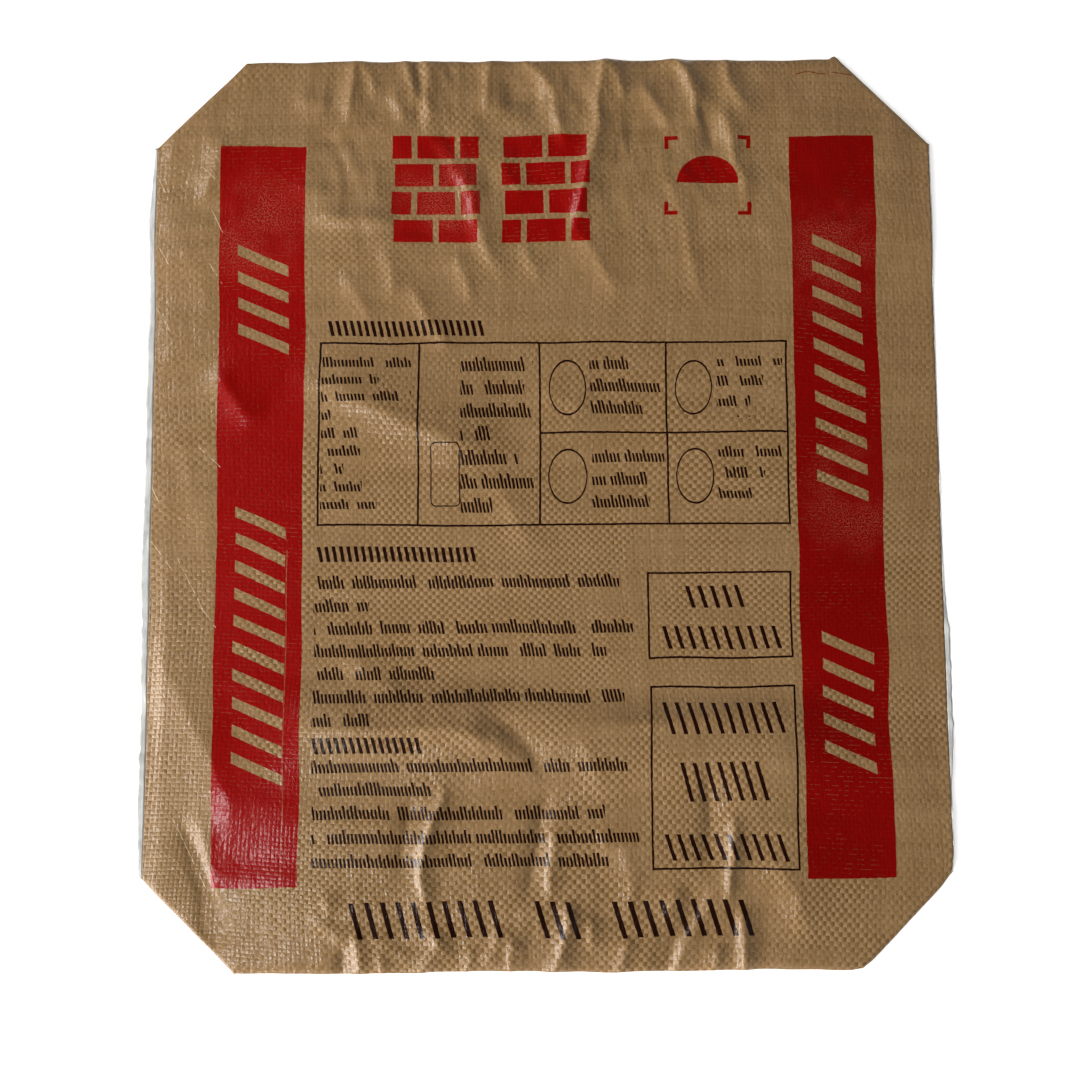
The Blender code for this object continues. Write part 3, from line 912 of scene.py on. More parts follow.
    def stroke_runs(self, along, across, strokes, places):
        """1 on runs of whole slanted strokes. A place is start and end along the run, then low and high."""
        leaning = self.math("MULTIPLY_ADD", across, strokes.slant, along)
        turn = self.math("FRACT", self.math("DIVIDE", leaning, strokes.pitch))
        runs = []
        for start, end, low, high in places:
            shift = strokes.slant * (low + high) / 2
            first, last = (round((edge + shift) / strokes.pitch) * strokes.pitch for edge in (start, end))
            runs.append(self.rectangle(leaning, across, (first, last, low, high)))
        lit = self.math("COMPARE", turn, 0.5, strokes.width / strokes.pitch / 2)
        return self.times(lit, self.any_of(*runs))


PITCH_DRIFT_NOISE = (5.0, 0.0)  # turns to the metre in which the spacing of the tapes drifts, and detail
PITCH_DRIFT = 26 * MM  # how far that shifts them at most
TAPE_FLATNESS = 0.3  # 0 is a flat tape with sharp edges, 1 a round one
# The dark and light squares of the checker are painted sheen in the cloth's colour
CHECKER_EDGE = 0.5  # how soft the squares of dark and light tape are at their edges
COLUMN_TONES = 0.5  # picks the tones of the tapes that run along, and of those that run across
ROW_TONES = 1000.5
STREAKS = (7.0, 0.5)  # fine streaks across one tape, and along it


def weave(sheet, position, tape):
    """The plain weave of flat tapes at a place on the cloth in metres: the soft dark square where the tape
    that runs across lies on top, which the cloth's colour draws darker as painted sheen, how high the cloth
    stands, the tape's own tone and the fine streaks along it, and where in its row the place lies."""
    drift = sheet.stray(position, PITCH_DRIFT_NOISE, PITCH_DRIFT)
    counted = sheet.scale_vector(sheet.vector("ADD", position, drift), (1 / tape, 1 / tape, 0))
    across, along = sheet.split(counted)
    column = sheet.math("FLOOR", across)
    row = sheet.math("FLOOR", along)
    in_row = sheet.math("FRACT", along)
    on_top = sheet.math("FLOORED_MODULO", sheet.math("ADD", column, row), 2.0)
    arch_across = sheet.math("SINE", sheet.times(sheet.math("FRACT", across), math.pi))
    arch_along = sheet.math("SINE", sheet.times(in_row, math.pi))
    warp_height = sheet.times(arch_along, sheet.math("POWER", arch_across, TAPE_FLATNESS))
    weft_height = sheet.times(arch_across, sheet.math("POWER", arch_along, TAPE_FLATNESS))
    height = sheet.mix_value(on_top, weft_height, warp_height)
    square = sheet.times(arch_across, arch_along)
    checker = sheet.times(square, sheet.math("MULTIPLY_ADD", on_top, -2.0, 1.0))
    dark = sheet.remap(checker, -CHECKER_EDGE, CHECKER_EDGE, kind="SMOOTHSTEP")
    warp_tone = sheet.white(sheet.math("ADD", column, COLUMN_TONES))
    weft_tone = sheet.white(sheet.math("ADD", row, ROW_TONES))
    tone = sheet.mix_value(on_top, weft_tone, warp_tone)
    warp_streaks = sheet.stretched_noise(counted, (*STREAKS, 0))
    weft_streaks = sheet.stretched_noise(counted, (*reversed(STREAKS), 0))
    streaks = sheet.mix_value(on_top, weft_streaks, warp_streaks)
    return dark, height, tone, streaks, in_row


# Print on the front panel in millimetres from the middle of the bag: left, right, low, high
LEFT_BAND = (-208.0, -153.5, -237.5, 232.0)
RIGHT_BAND = (159.0, 213.5, -234.0, 237.0)
# Slanted strokes: spacing, thickness, and how far they lean
Strokes = namedtuple("Strokes", "pitch width slant")
BAND_STROKES = Strokes(17.0, 7.0, 0.45)
# Openings in the bands, along the band and then across it
LEFT_RUNS = ((96.0, 165.0, -196.0, -164.0), (-170.0, 3.0, -196.0, -164.0))
RIGHT_RUNS = ((-1.5, 170.0, 172.0, 204.0), (-163.0, -90.0, 172.0, 204.0))
BRICK_COURSE = 18.5
BRICK_LENGTH = 28.35
BRICK_JOINT = 3.6
BRICKS_LEFT = -97.7
BRICKS_TOP = 240.0
PANEL_STARTS = (0.0, 2.5)  # where the two panels begin, in bricks
PANEL_SIZE = (2, 4)  # bricks long and courses high
BRACKETS = (78.0, 134.0, 185.0, 237.5)
BRACKET_ARM = 8.5
BRACKET_LINE = 2.6
DOME_CENTRE = (105.8, 206.0)
DOME_RADII = (20.0, 18.5)
TABLE = (-144.5, 154.5, -15.0, 103.0)
TABLE_LINE = 1.3
TABLE_UPRIGHTS = (-80.5, -3.2, 77.7)
TABLE_MIDDLE = 44.0
SMALL_BOXES = ((63.0, 154.0, -99.5, -45.0), (63.8, 154.5, -229.0, -116.5))
HEADINGS = ((-139.6, -39.4, 107.0, 117.0), (-142.7, -44.2, -37.6, -28.0), (-146.0, -75.0, -157.0, -147.0))
HEADING_STROKES = Strokes(4.6, 2.3, 0.22)
ROW_STROKES = Strokes(2.4, 1.45, 0.2)
BOX_STROKES = Strokes(7.6, 2.5, 0.3)
BOX_ROWS = (
    (88.5, 121.0, -68.0, -54.0),
    (75.0, 148.0, -93.5, -79.5),
    (71.0, 148.0, -146.0, -127.0),
    (82.0, 137.0, -187.0, -163.0),
    (69.0, 149.0, -223.5, -207.0),
)
FOOT_ROWS = ((-121.0, -30.0, -269.0, -247.0), (-9.0, 23.0, -269.0, -247.0), (40.0, 129.0, -269.0, -247.0))
FOOT_STROKES = Strokes(9.5, 3.2, 0.3)
WORD_RATE = 0.085  # words to the millimetre in the rows, about
WORD_GAP = 0.36  # noise below this leaves a gap between words
TALL_STROKES = 0.3  # share of the strokes that are full height
SHORT_STROKE = 0.7  # height of the others, as a share of that
ODD_STROKE_STEP = 3.7  # sets the strokes of one row apart from the next
# Runs of rows: place, pitch, height of the strokes, and how far each row runs from the top, as shares
RowBlock = namedtuple("RowBlock", "place pitch height runs")
ROW_BLOCKS = (
    RowBlock(
        (-146.0, 60.0, -241.0, -43.0), 14.3, 8.2,
        (0.93, 0.17, 0.97, 0.89, 0.38, 0.94, 0.2, 0.0, 0.95, 0.36, 0.88, 0.98, 0.9, 0.0),
    ),
    RowBlock((-142.5, -83.0, -7.0, 96.0), 11.4, 6.6, (0.96, 0.62, 0.97, 0.1, 0.4, 0.42, 0.24, 0.44, 0.6)),
    RowBlock((-54.0, -5.5, -9.0, 96.0), 15.0, 9.4, (0.96, 0.84, 0.99, 0.4, 0.76, 0.97, 0.42)),
    RowBlock((29.0, 74.7, 53.0, 96.0), 14.3, 8.4, (0.55, 0.99, 0.8)),
    RowBlock((29.0, 76.0, -7.0, 36.0), 14.3, 8.0, (0.99, 0.75, 0.78)),
    RowBlock((109.0, 152.0, 53.0, 96.0), 13.0, 6.8, (0.99, 0.7, 0.5)),
    RowBlock((109.0, 152.0, -4.0, 38.0), 13.0, 6.8, (0.99, 0.7, 0.5)),
)
RINGS = (
    ((14.5, 73.0), (11.7, 17.6)),
    ((14.0, 16.2), (11.7, 16.8)),
    ((94.8, 73.0), (11.2, 17.0)),
    ((95.0, 16.2), (11.7, 17.0)),
)
RING_LINE = 0.075  # share of the ring's own radius
# Hairline scratches in the coating of the left margin, from end to end
SCRATCHES = (
    ((-226.0, 224.0), (-211.0, 210.0)),
    ((-252.0, 219.0), (-244.0, 202.0)),
    ((-213.0, 190.0), (-206.0, 176.0)),
    ((-250.0, 170.0), (-241.0, 156.0)),
    ((-214.0, 156.0), (-206.0, 143.0)),
    ((-250.0, 128.0), (-240.0, 112.0)),
    ((-212.0, 112.0), (-206.0, 104.0)),
    ((-252.0, 92.0), (-244.0, 78.0)),
    ((-219.0, 36.0), (-206.0, 24.0)),
    ((-252.0, 16.0), (-245.0, 2.0)),
    ((-252.0, -20.0), (-235.0, -42.0)),
    ((-235.0, -29.0), (-216.0, -66.0)),
    ((-216.0, -66.0), (-207.0, -78.0)),
    ((-232.0, -196.0), (-211.0, -238.0)),
)
SCRATCH_WIDTH = 0.38
PRESS_LINE = ((-163.0, -30.0), (-164.0, -232.0))  # where the red of the left band is rubbed off along a tape
PRESS_WIDTH = 0.6
PRESS_WEAR = 0.4  # share of the ink that is gone there
# Places where the red is rubbed thin: centre and radius
WORN_PATCHES = (
    ((184.0, 158.0), 48.0),
    ((200.0, 0.0), 44.0),
    ((-186.0, 180.0), 40.0),
    ((-66.0, 196.0), 40.0),
)
WORN_CORE = 0.4  # share of the radius over which they are worn fully
# A slip of the pen by the cut corner, and a nick of ink near the foot
PEN_MARKS = (
    ((165.0, 280.5), (172.0, 281.8)),
    ((172.0, 281.8), (181.0, 279.6)),
    ((181.0, 279.6), (190.0, 281.0)),
    ((190.0, 281.0), (201.0, 278.8)),
    ((147.5, -240.5), (156.5, -236.5)),
)
PEN_WIDTH = 0.55
ROUNDED_CENTRE = (-63.5, 18.0)  # the rounded rectangle
ROUNDED_HALF = (9.0, 20.0)
ROUNDED_CORNER = 3.0
ROUNDED_HALF_LINE = 0.4


def row_block(sheet, x, y, block, stroke_place):
    """Rows of fine strokes in words of uneven length, each row as long as its own run."""
    left, right, _, high = block.place
    rows = len(block.runs)
    counted = sheet.math("DIVIDE", sheet.minus(high, y), block.pitch)
    row = sheet.math("FLOOR", counted)
    in_row = sheet.math("FRACT", counted)
    stops = [(index / rows, run) for index, run in enumerate(block.runs)]
    run = sheet.steps(sheet.math("DIVIDE", counted, float(rows)), stops)
    reach = sheet.math("DIVIDE", sheet.minus(x, left), right - left)
    inside = sheet.times(sheet.rectangle(x, y, block.place), sheet.math("LESS_THAN", reach, run))
    height = block.height / block.pitch
    foot = 0.5 + height / 2
    odd = sheet.white(sheet.math("MULTIPLY_ADD", row, ODD_STROKE_STEP, stroke_place))
    tall = sheet.math("GREATER_THAN", odd, 1 - TALL_STROKES)
    top = sheet.remap(tall, 0.0, 1.0, foot - SHORT_STROKE * height, foot - height)
    lit = sheet.times(sheet.math("LESS_THAN", in_row, foot), sheet.math("GREATER_THAN", in_row, top))
    words = sheet.noise(sheet.combine(stroke_place, row), 1.0, 0.0)
    spaced = sheet.math("GREATER_THAN", words, WORD_GAP)
    return sheet.times(sheet.times(inside, lit), spaced)


def line_mask(sheet, place, ends, width):
    """1 on a thin straight line between two points."""
    start = Vector((*ends[0], 0.0))
    run = Vector((*ends[1], 0.0)) - start
    offset = sheet.vector("SUBTRACT", place, tuple(start))
    along = sheet.vector("DOT_PRODUCT", offset, tuple(run / run.length_squared))
    held = sheet.math("MINIMUM", sheet.math("MAXIMUM", along, 0.0), 1.0)
    foot = sheet.scale_vector(sheet.combine(held, held), tuple(run))
    return sheet.math("LESS_THAN", sheet.vector("LENGTH", sheet.vector("SUBTRACT", offset, foot)), width / 2)


def brick_courses(sheet, x, y):
    """Two panels of brick courses, with every other course half a brick along."""
    panels = []
    for start in PANEL_STARTS:
        left = BRICKS_LEFT + start * BRICK_LENGTH
        right = left + PANEL_SIZE[0] * BRICK_LENGTH
        low = BRICKS_TOP - PANEL_SIZE[1] * BRICK_COURSE
        panels.append(sheet.rectangle(x, y, (left, right, low, BRICKS_TOP)))
    course = sheet.math("DIVIDE", sheet.minus(y, BRICKS_TOP), BRICK_COURSE)
    shift = sheet.times(sheet.math("FLOORED_MODULO", sheet.math("FLOOR", course), 2.0), 0.5)
    laid_along = sheet.math("DIVIDE", sheet.minus(x, BRICKS_LEFT), BRICK_LENGTH)
    brick = sheet.math("FRACT", sheet.math("ADD", laid_along, shift))
    solid = sheet.math("COMPARE", brick, 0.5, 0.5 - BRICK_JOINT / BRICK_LENGTH / 2)
    laid = sheet.math("COMPARE", sheet.math("FRACT", course), 0.5, 0.5 - BRICK_JOINT / BRICK_COURSE / 2)
    return sheet.times(sheet.any_of(*panels), sheet.times(solid, laid))


def red_print(sheet, x, y, place):
    """Bands with slanted openings, two panels of brick courses, and a dome between corner brackets."""
    bands = sheet.any_of(sheet.rectangle(x, y, LEFT_BAND), sheet.rectangle(x, y, RIGHT_BAND))
    bands = sheet.minus(bands, sheet.stroke_runs(y, x, BAND_STROKES, (*LEFT_RUNS, *RIGHT_RUNS)))
    left, right, low, high = BRACKETS
    far_x = sheet.within(x, left + BRACKET_ARM, right - BRACKET_ARM)
    far_y = sheet.within(y, low + BRACKET_ARM, high - BRACKET_ARM)
    corners = sheet.minus(sheet.frame(x, y, BRACKETS, BRACKET_LINE), sheet.any_of(far_x, far_y))
    in_oval = sheet.math("LESS_THAN", sheet.oval_reach(place, DOME_CENTRE, DOME_RADII), 1.0)
    dome = sheet.times(in_oval, sheet.math("GREATER_THAN", y, DOME_CENTRE[1]))
    return sheet.any_of(bands, brick_courses(sheet, x, y), corners, dome)


def brown_print(sheet, x, y, place):
    """Thin frames, rings, and rows of slanted strokes."""
    half_line = TABLE_LINE / 2
    level = (TABLE_UPRIGHTS[1], TABLE[1], TABLE_MIDDLE - half_line, TABLE_MIDDLE + half_line)
    uprights = sheet.any_of(*(sheet.math("COMPARE", x, at, half_line) for at in TABLE_UPRIGHTS))
    marks = [sheet.times(uprights, sheet.rectangle(x, y, TABLE)), sheet.rectangle(x, y, level)]
    marks += [sheet.frame(x, y, area, TABLE_LINE) for area in (TABLE, *SMALL_BOXES)]
    for centre, radii in RINGS:
        marks.append(sheet.math("COMPARE", sheet.oval_reach(place, centre, radii), 1.0, RING_LINE / 2))

    offset = sheet.vector("ABSOLUTE", sheet.vector("SUBTRACT", place, (*ROUNDED_CENTRE, 0.0)))
    inner_half = (*(half - ROUNDED_CORNER for half in ROUNDED_HALF), 0.0)
    beyond = sheet.vector("MAXIMUM", sheet.vector("SUBTRACT", offset, inner_half), (0.0, 0.0, 0.0))
    marks.append(sheet.math("COMPARE", sheet.vector("LENGTH", beyond), ROUNDED_CORNER, ROUNDED_HALF_LINE))

    counted = sheet.math("DIVIDE", sheet.math("MULTIPLY_ADD", y, ROW_STROKES.slant, x), ROW_STROKES.pitch)
    half_stroke = ROW_STROKES.width / ROW_STROKES.pitch / 2
    stroke = sheet.math("COMPARE", sheet.math("FRACT", counted), 0.5, half_stroke)
    stroke_place = sheet.times(sheet.math("FLOOR", counted), WORD_RATE * ROW_STROKES.pitch)
    rows = sheet.any_of(*(row_block(sheet, x, y, block, stroke_place) for block in ROW_BLOCKS))
    marks.append(sheet.times(rows, stroke))
    for strokes, places in ((HEADING_STROKES, HEADINGS), (BOX_STROKES, BOX_ROWS), (FOOT_STROKES, FOOT_ROWS)):
        marks.append(sheet.stroke_runs(x, y, strokes, places))
    return sheet.any_of(*marks)


# Noise on the cloth: features to the metre, detail, and roughness
CLOUDS = (14.0, 2.0, 0.6)
MOTTLE = (45.0, 2.0, 0.6)
GRAIN = (900.0, 1.0, 0.7)
COATING_GRAIN = (420.0, 2.0, 0.6)
GLOSS_CLOUDS = (30.0, 1.0)
INK_EDGES = (300.0, 0.0)
PRINT_PULL = (14.0, 1.0)
WEAR_CLOUDS = (22.0, 3.0, 0.6)
SPECKLES = (1100.0, 0.0)
SCRATCH_GAPS = (160.0, 1.0)
# And noise with its own number of features to the metre across and along the cloth
CRINKLES = (230.0, 150.0, 0.0)
BARE_DASHES = (330.0, 700.0, 0.0)
FILM_STREAKS = (240.0, 60.0, 0.0)
FILM_STREAK_GRAIN = (3.0, 0.6)  # detail and roughness

# How strongly the squares of the weave show, which in the colour is painted sheen and in the relief its
# depth: two places or values, and then the strength at each. Places are in metres along the cloth's own map
CLOUD_FADE = (0.4, 0.6, 0.35, 1.25)
DULL_ACROSS = (0.32, 0.44)
DULL_ALONG = (0.38, 0.50)
DULL_CORNER_FADE = (1.0, 0.5)  # from the rest of the cloth to the right part of its upper end
DULL_END_FADE = (0.88, 0.36)  # and to the whole upper end
LEFT_EDGE_FADE = (0.035, 0.075, 0.45, 1.0)
RIGHT_EDGE_FADE = (0.44, 0.47, 1.0, 0.8)
# Where the relief is deeper, so that the glints break up into a dot on each square
DOTTED_ACROSS = (0.03, 0.05)
DOTTED_ALONG = (0.26, 0.38)
DOTTED_DEPTH = 0.9
FADED_DEPTH = 0.5  # depth of the relief where the weave shows least

# Shares of the parts that make the tone of the kraft, which is deep at 0 and light at 1
MIDDLE_TONE = 0.5
TONE_SHARE = 0.26
STREAK_SHARE = 0.5
GRAIN_SHARE = 0.5
MOTTLE_SHARE = 0.35
FADE_SHARE = 0.5

# Ink
INK_EDGE_REACH = 0.35  # millimetres that the edges of the ink wander
PRINT_PULL_REACH = 3.0  # and that the whole print is pulled about
BARE_LINE = (0.04, 0.05)  # middle and half width of the line that the ink misses, in rows of tape
DASH_GAP = 0.53  # noise below this leaves no bare dash
LINE_WEAR = (0.46, 0.6, 0.03, 0.35)
PATCH_WEAR = (0.4, 0.55, 0.1, 0.8)
SPECKLE_WEAR = (0.5, 0.62)
SCRATCH_WEAR = (0.38, 0.5, 0.0, 0.9)
# Painted shade: the red is drawn darker towards the right, away from the light. Painted sheen: it is drawn
# darker on the checker's dark squares
RED_SHADE_FALL = (0.0, 150.0, 1.0, 0.8)  # the red grows darker towards the right
RED_WEAVE = 0.12  # how much darker it is on a dark square
BROWN_COVER = 0.99
PEN_TONE = 0.5  # of the red ink
BLACK = (0.0, 0.0, 0.0)

# Surface
SQUARE_ROUGHNESS = (0.27, 0.19)  # of a light and a dark square
ROUGHNESS_SPREAD = (0.3, 0.7, -0.02, 0.02)
INK_ROUGHNESS = 0.22
INK_FILL = 0.5  # share of the relief that ink fills up
COATING_SHARE = 0.3  # of the coating's grain in the relief
CRINKLE_DEPTH = 3.5
CLOTH_RELIEF = 0.14 * MM
CLOTH_SHINE = 0.35
# Painted shade: how much darker the film's colour is drawn in the low parts of its creases
FILM_CREASE_SHADE = 0.78
FILM_STREAK_TONE = (0.35, 0.6)
FILM_ROUGHNESS = (0.3, 0.7, 0.25, 0.4)
FILM_RELIEF = 0.25 * MM


def new_material(name):
    """A material without metal, its shader, and a sheet for its nodes."""
    material = bpy.data.materials.new(name)
    material.use_nodes = True
    shader = material.node_tree.nodes["Principled BSDF"]
    shader.inputs["Metallic"].default_value = 0.0
    return material, shader, NodeSheet(material.node_tree)


def dress(sheet, shader, colour, roughness, relief, depth, strength=1.0):
    """Plugs colour, roughness and relief into a shader."""
    bump = sheet.add("ShaderNodeBump")
    for key, value in (("Strength", strength), ("Distance", depth), ("Height", relief)):
        sheet.plug(bump, key, value)
    for key, value in (("Base Color", colour), ("Roughness", roughness), ("Normal", bump.outputs[0])):
        sheet.plug(shader, key, value)


def weave_and_sheen_strength(sheet, pattern, across, along):
    """How strongly the squares of the weave show at a place on the cloth: the strength of the painted sheen
    in the colour, weaker at the upper end, its right part and the side edges, and the depth of the relief.
    """
    upper = sheet.remap(along, *DULL_ALONG, kind="SMOOTHSTEP")
    corner = sheet.times(sheet.remap(across, *DULL_ACROSS, kind="SMOOTHSTEP"), upper)
    fade = sheet.remap(sheet.noise(pattern, *CLOUDS), *CLOUD_FADE)
    fade = sheet.times(fade, sheet.remap(corner, 0.0, 1.0, *DULL_CORNER_FADE))
    fade = sheet.times(fade, sheet.remap(upper, 0.0, 1.0, *DULL_END_FADE))
    for edge_fade in (LEFT_EDGE_FADE, RIGHT_EDGE_FADE):
        fade = sheet.times(fade, sheet.remap(across, *edge_fade, kind="SMOOTHSTEP"))
    return fade


def kraft_colour(sheet, pattern, tone, streaks, fade, checker_sheen, colours):
    """The bare cloth's colour: its random tones, and the checker of dark and light squares, which is painted
    sheen.
    """
    parts = (
        (sheet.minus(tone, 0.5), TONE_SHARE),
        (sheet.minus(streaks, 0.5), STREAK_SHARE),
        (sheet.minus(sheet.noise(pattern, *GRAIN), 0.5), GRAIN_SHARE),
        (sheet.minus(sheet.noise(pattern, *MOTTLE), 0.5), MOTTLE_SHARE),
        # Painted sheen: the dark squares are drawn darker and the light ones lighter where the weave shows
        # strongly
        (checker_sheen, -1.0),
        (fade, FADE_SHARE),
    )
    shade = MIDDLE_TONE
    for part, share in parts:
        shade = sheet.math("MULTIPLY_ADD", part, share, shade)
    return sheet.mix(shade, tuple(colours.kraft_deep), tuple(colours.kraft))


def print_place(sheet, pattern, sizes):
    """Millimetres from the middle of the front panel, with the small slips of the printing."""
    half_cut = sizes.length / 2 + sizes.bottom / 2 + sizes.lap / 2
    place = sheet.vector("SUBTRACT", pattern, (sizes.width / 2, half_cut, 0.0))
    place = sheet.scale_vector(place, (1 / MM, 1 / MM, 0.0))
    edges = sheet.stray(pattern, INK_EDGES, INK_EDGE_REACH)
    pull = sheet.stray(pattern, PRINT_PULL, PRINT_PULL_REACH)
    return sheet.vector("ADD", place, sheet.vector("ADD", edges, pull))


def red_wear(sheet, pattern, place, in_row):
    """Where the red ink is rubbed thin, and where it is missing along single tapes."""
    clouds = sheet.noise(pattern, *WEAR_CLOUDS)
    patches = [
        sheet.remap(sheet.vector("DISTANCE", place, (*centre, 0.0)), WORN_CORE * radius, radius, 1.0, 0.0)
        for centre, radius in WORN_PATCHES
    ]
    rubbed = sheet.times(sheet.any_of(*patches), sheet.remap(clouds, *PATCH_WEAR))
    thin = sheet.times(sheet.remap(sheet.noise(pattern, *SPECKLES), *SPECKLE_WEAR), rubbed)
    dashes = sheet.math("GREATER_THAN", sheet.stretched_noise(pattern, BARE_DASHES), DASH_GAP)
    bare = sheet.times(sheet.math("COMPARE", in_row, *BARE_LINE), dashes)
    missing = sheet.times(bare, sheet.remap(clouds, *LINE_WEAR))
    pressed = sheet.times(line_mask(sheet, place, PRESS_LINE, PRESS_WIDTH), PRESS_WEAR)
    return thin, sheet.math("MAXIMUM", missing, pressed)


def add_print(sheet, pattern, in_row, checker_sheen, colour, sizes, colours):
    """The cloth's colour with print, scratches and pen marks on it, and where the ink lies."""
    place = print_place(sheet, pattern, sizes)
    x, y = sheet.split(place)
    brown = brown_print(sheet, x, y, place)
    thin, missing = red_wear(sheet, pattern, place, in_row)
    red_cover = sheet.times(red_print(sheet, x, y, place), sheet.minus(1.0, missing))
    on_weave = sheet.math("MULTIPLY_ADD", checker_sheen, -RED_WEAVE, 1.0)
    red = sheet.mix(thin, tuple(colours.red), tuple(colours.worn_red))
    # Painted shade towards the right and the checker's painted sheen darken the red
    red = sheet.mix(sheet.times(sheet.remap(x, *RED_SHADE_FALL), on_weave), BLACK, red)
    colour = sheet.mix(red_cover, colour, red)
    colour = sheet.mix(sheet.times(brown, BROWN_COVER), colour, tuple(colours.brown))
    gaps = sheet.remap(sheet.noise(pattern, *SCRATCH_GAPS), *SCRATCH_WEAR)
    pen = tuple(PEN_TONE * part for part in colours.red)
    thin_lines = ((SCRATCHES, SCRATCH_WIDTH, tuple(colours.scratch)), (PEN_MARKS, PEN_WIDTH, pen))
    for lines, width, tone in thin_lines:
        marks = sheet.any_of(*(line_mask(sheet, place, ends, width) for ends in lines))
        colour = sheet.mix(sheet.times(marks, gaps), colour, tone)
    return colour, sheet.math("MAXIMUM", red_cover, brown)


def cloth_relief(sheet, pattern, across, along, height, fade):
    """How high the coated cloth stands: the tapes, the grain of the coating, and its sharp crinkles."""
    relief = sheet.math("MULTIPLY_ADD", sheet.noise(pattern, *COATING_GRAIN), COATING_SHARE, height)
    dotted_side = sheet.remap(across, *DOTTED_ACROSS, 1.0, 0.0, kind="SMOOTHSTEP")
    dotted_end = sheet.remap(along, *DOTTED_ALONG, DOTTED_DEPTH, 0.0, kind="SMOOTHSTEP")
    depth = sheet.remap(fade, 0.0, 1.0, FADED_DEPTH, 1.0)
    relief = sheet.times(relief, sheet.math("MULTIPLY_ADD", dotted_side, dotted_end, depth))
    crinkle = sheet.math("ABSOLUTE", sheet.minus(sheet.stretched_noise(pattern, CRINKLES), 0.5))
    return sheet.math("MULTIPLY_ADD", crinkle, -CRINKLE_DEPTH, relief)


def make_cloth(name, sizes, colours, printed):
    """Coated woven polypropylene, kraft brown, with the print if it is the printed cloth."""
    material, shader, sheet = new_material(name)
    pattern = sheet.add("ShaderNodeUVMap", uv_map=PATTERN_MAP).outputs[0]
    dark, height, tone, streaks, in_row = weave(sheet, pattern, sizes.tape)
    across, along = sheet.split(pattern)
    fade = weave_and_sheen_strength(sheet, pattern, across, along)
    # How much darker the dark squares are drawn: painted sheen
    checker_sheen = sheet.times(dark, fade)
    colour = kraft_colour(sheet, pattern, tone, streaks, fade, checker_sheen, colours)
    spread = sheet.remap(sheet.noise(pattern, *GLOSS_CLOUDS), *ROUGHNESS_SPREAD)
    roughness = sheet.math("ADD", sheet.mix_value(dark, *SQUARE_ROUGHNESS), spread)
    relief = cloth_relief(sheet, pattern, across, along, height, fade)
    strength = 1.0
    if printed:
        colour, inked = add_print(sheet, pattern, in_row, checker_sheen, colour, sizes, colours)
        roughness = sheet.mix_value(inked, roughness, INK_ROUGHNESS)
        strength = sheet.math("MULTIPLY_ADD", inked, -INK_FILL, 1.0)
    dress(sheet, shader, colour, roughness, relief, CLOTH_RELIEF, strength)
    shader.inputs["Specular IOR Level"].default_value = CLOTH_SHINE
    return material


def make_film(colours):
    """Milky coating film with fine creases across the strip, drawn darker in their low parts as painted
    shade.
    """
    material, shader, sheet = new_material("milky_film")
    pattern = sheet.add("ShaderNodeUVMap", uv_map=PATTERN_MAP).outputs[0]
    streaks = sheet.stretched_noise(pattern, FILM_STREAKS, *FILM_STREAK_GRAIN)
    # Painted shade in the low parts of the creases
    crease_shade_colour = tuple(FILM_CREASE_SHADE * part for part in colours.film)
    colour = sheet.mix(sheet.remap(streaks, *FILM_STREAK_TONE), crease_shade_colour, tuple(colours.film))
    dress(sheet, shader, colour, sheet.remap(streaks, *FILM_ROUGHNESS), streaks, FILM_RELIEF)
    return material


# Stage
WHITE = (1.0, 1.0, 1.0, 1.0)
FLOOR_CLOUDS = (3.0, 2.0)  # to the metre, and their detail
FLOOR_CLOUD_TONE = 0.99
FLOOR_ROUGHNESS = 0.9
FLOOR_SHINE = 0.1
NEAREST_SEEN = 0.01  # from the camera
CAMERA_PLACE = (-0.0057, -0.1222, 0.933)
CAMERA_TURN = (6.014, -0.082, -0.364)  # degrees about X, Y and Z
FLOOR_HALF = 4.0
FLOOR_DROP = 0.2 * MM
SKY_BAND = (0.55, 0.85)  # height in the sky, as a sine, over which its light fades away
WINDOW_PLACE = (-2.95, -1.6, 1.52)
WINDOW_SIZE = (5.4, 1.9)  # wide and high
LAMP_PLACE = (-0.85, -0.65, 1.6)
LAMP_SIZE = (0.35, 0.35)
TOP_LAMP_PLACE = (-1.3, 0.66, 1.4)
TOP_LAMP_SIZE = (0.4, 0.4)


def make_floor_material(stage):
    """Pale matt floor, faintly clouded, which glows a little."""
    material, shader, sheet = new_material("pale_floor")
    clouds = sheet.noise(sheet.add("ShaderNodeTexCoord").outputs["Object"], *FLOOR_CLOUDS)
    pale = tuple(stage.floor)
    colour = sheet.mix(clouds, tuple(FLOOR_CLOUD_TONE * part for part in pale), pale)
    settings = (
        ("Base Color", colour),
        ("Roughness", FLOOR_ROUGHNESS),
        ("Specular IOR Level", FLOOR_SHINE),
        ("Emission Color", WHITE),
        ("Emission Strength", stage.floor_glow),
    )
    for key, value in settings:
        sheet.plug(shader, key, value)
    return material


def add_area_light(name, place, size, power):
    """A soft rectangular light that faces the middle of the bag."""
    data = bpy.data.lights.new(name, "AREA")
    data.shape = "RECTANGLE"
    data.size, data.size_y = size
    data.energy = power
    light = bpy.data.objects.new(name, data)
    light.location = place
    light.rotation_euler = (-Vector(place)).to_track_quat("-Z", "Y").to_euler()
    bpy.context.scene.collection.objects.link(light)


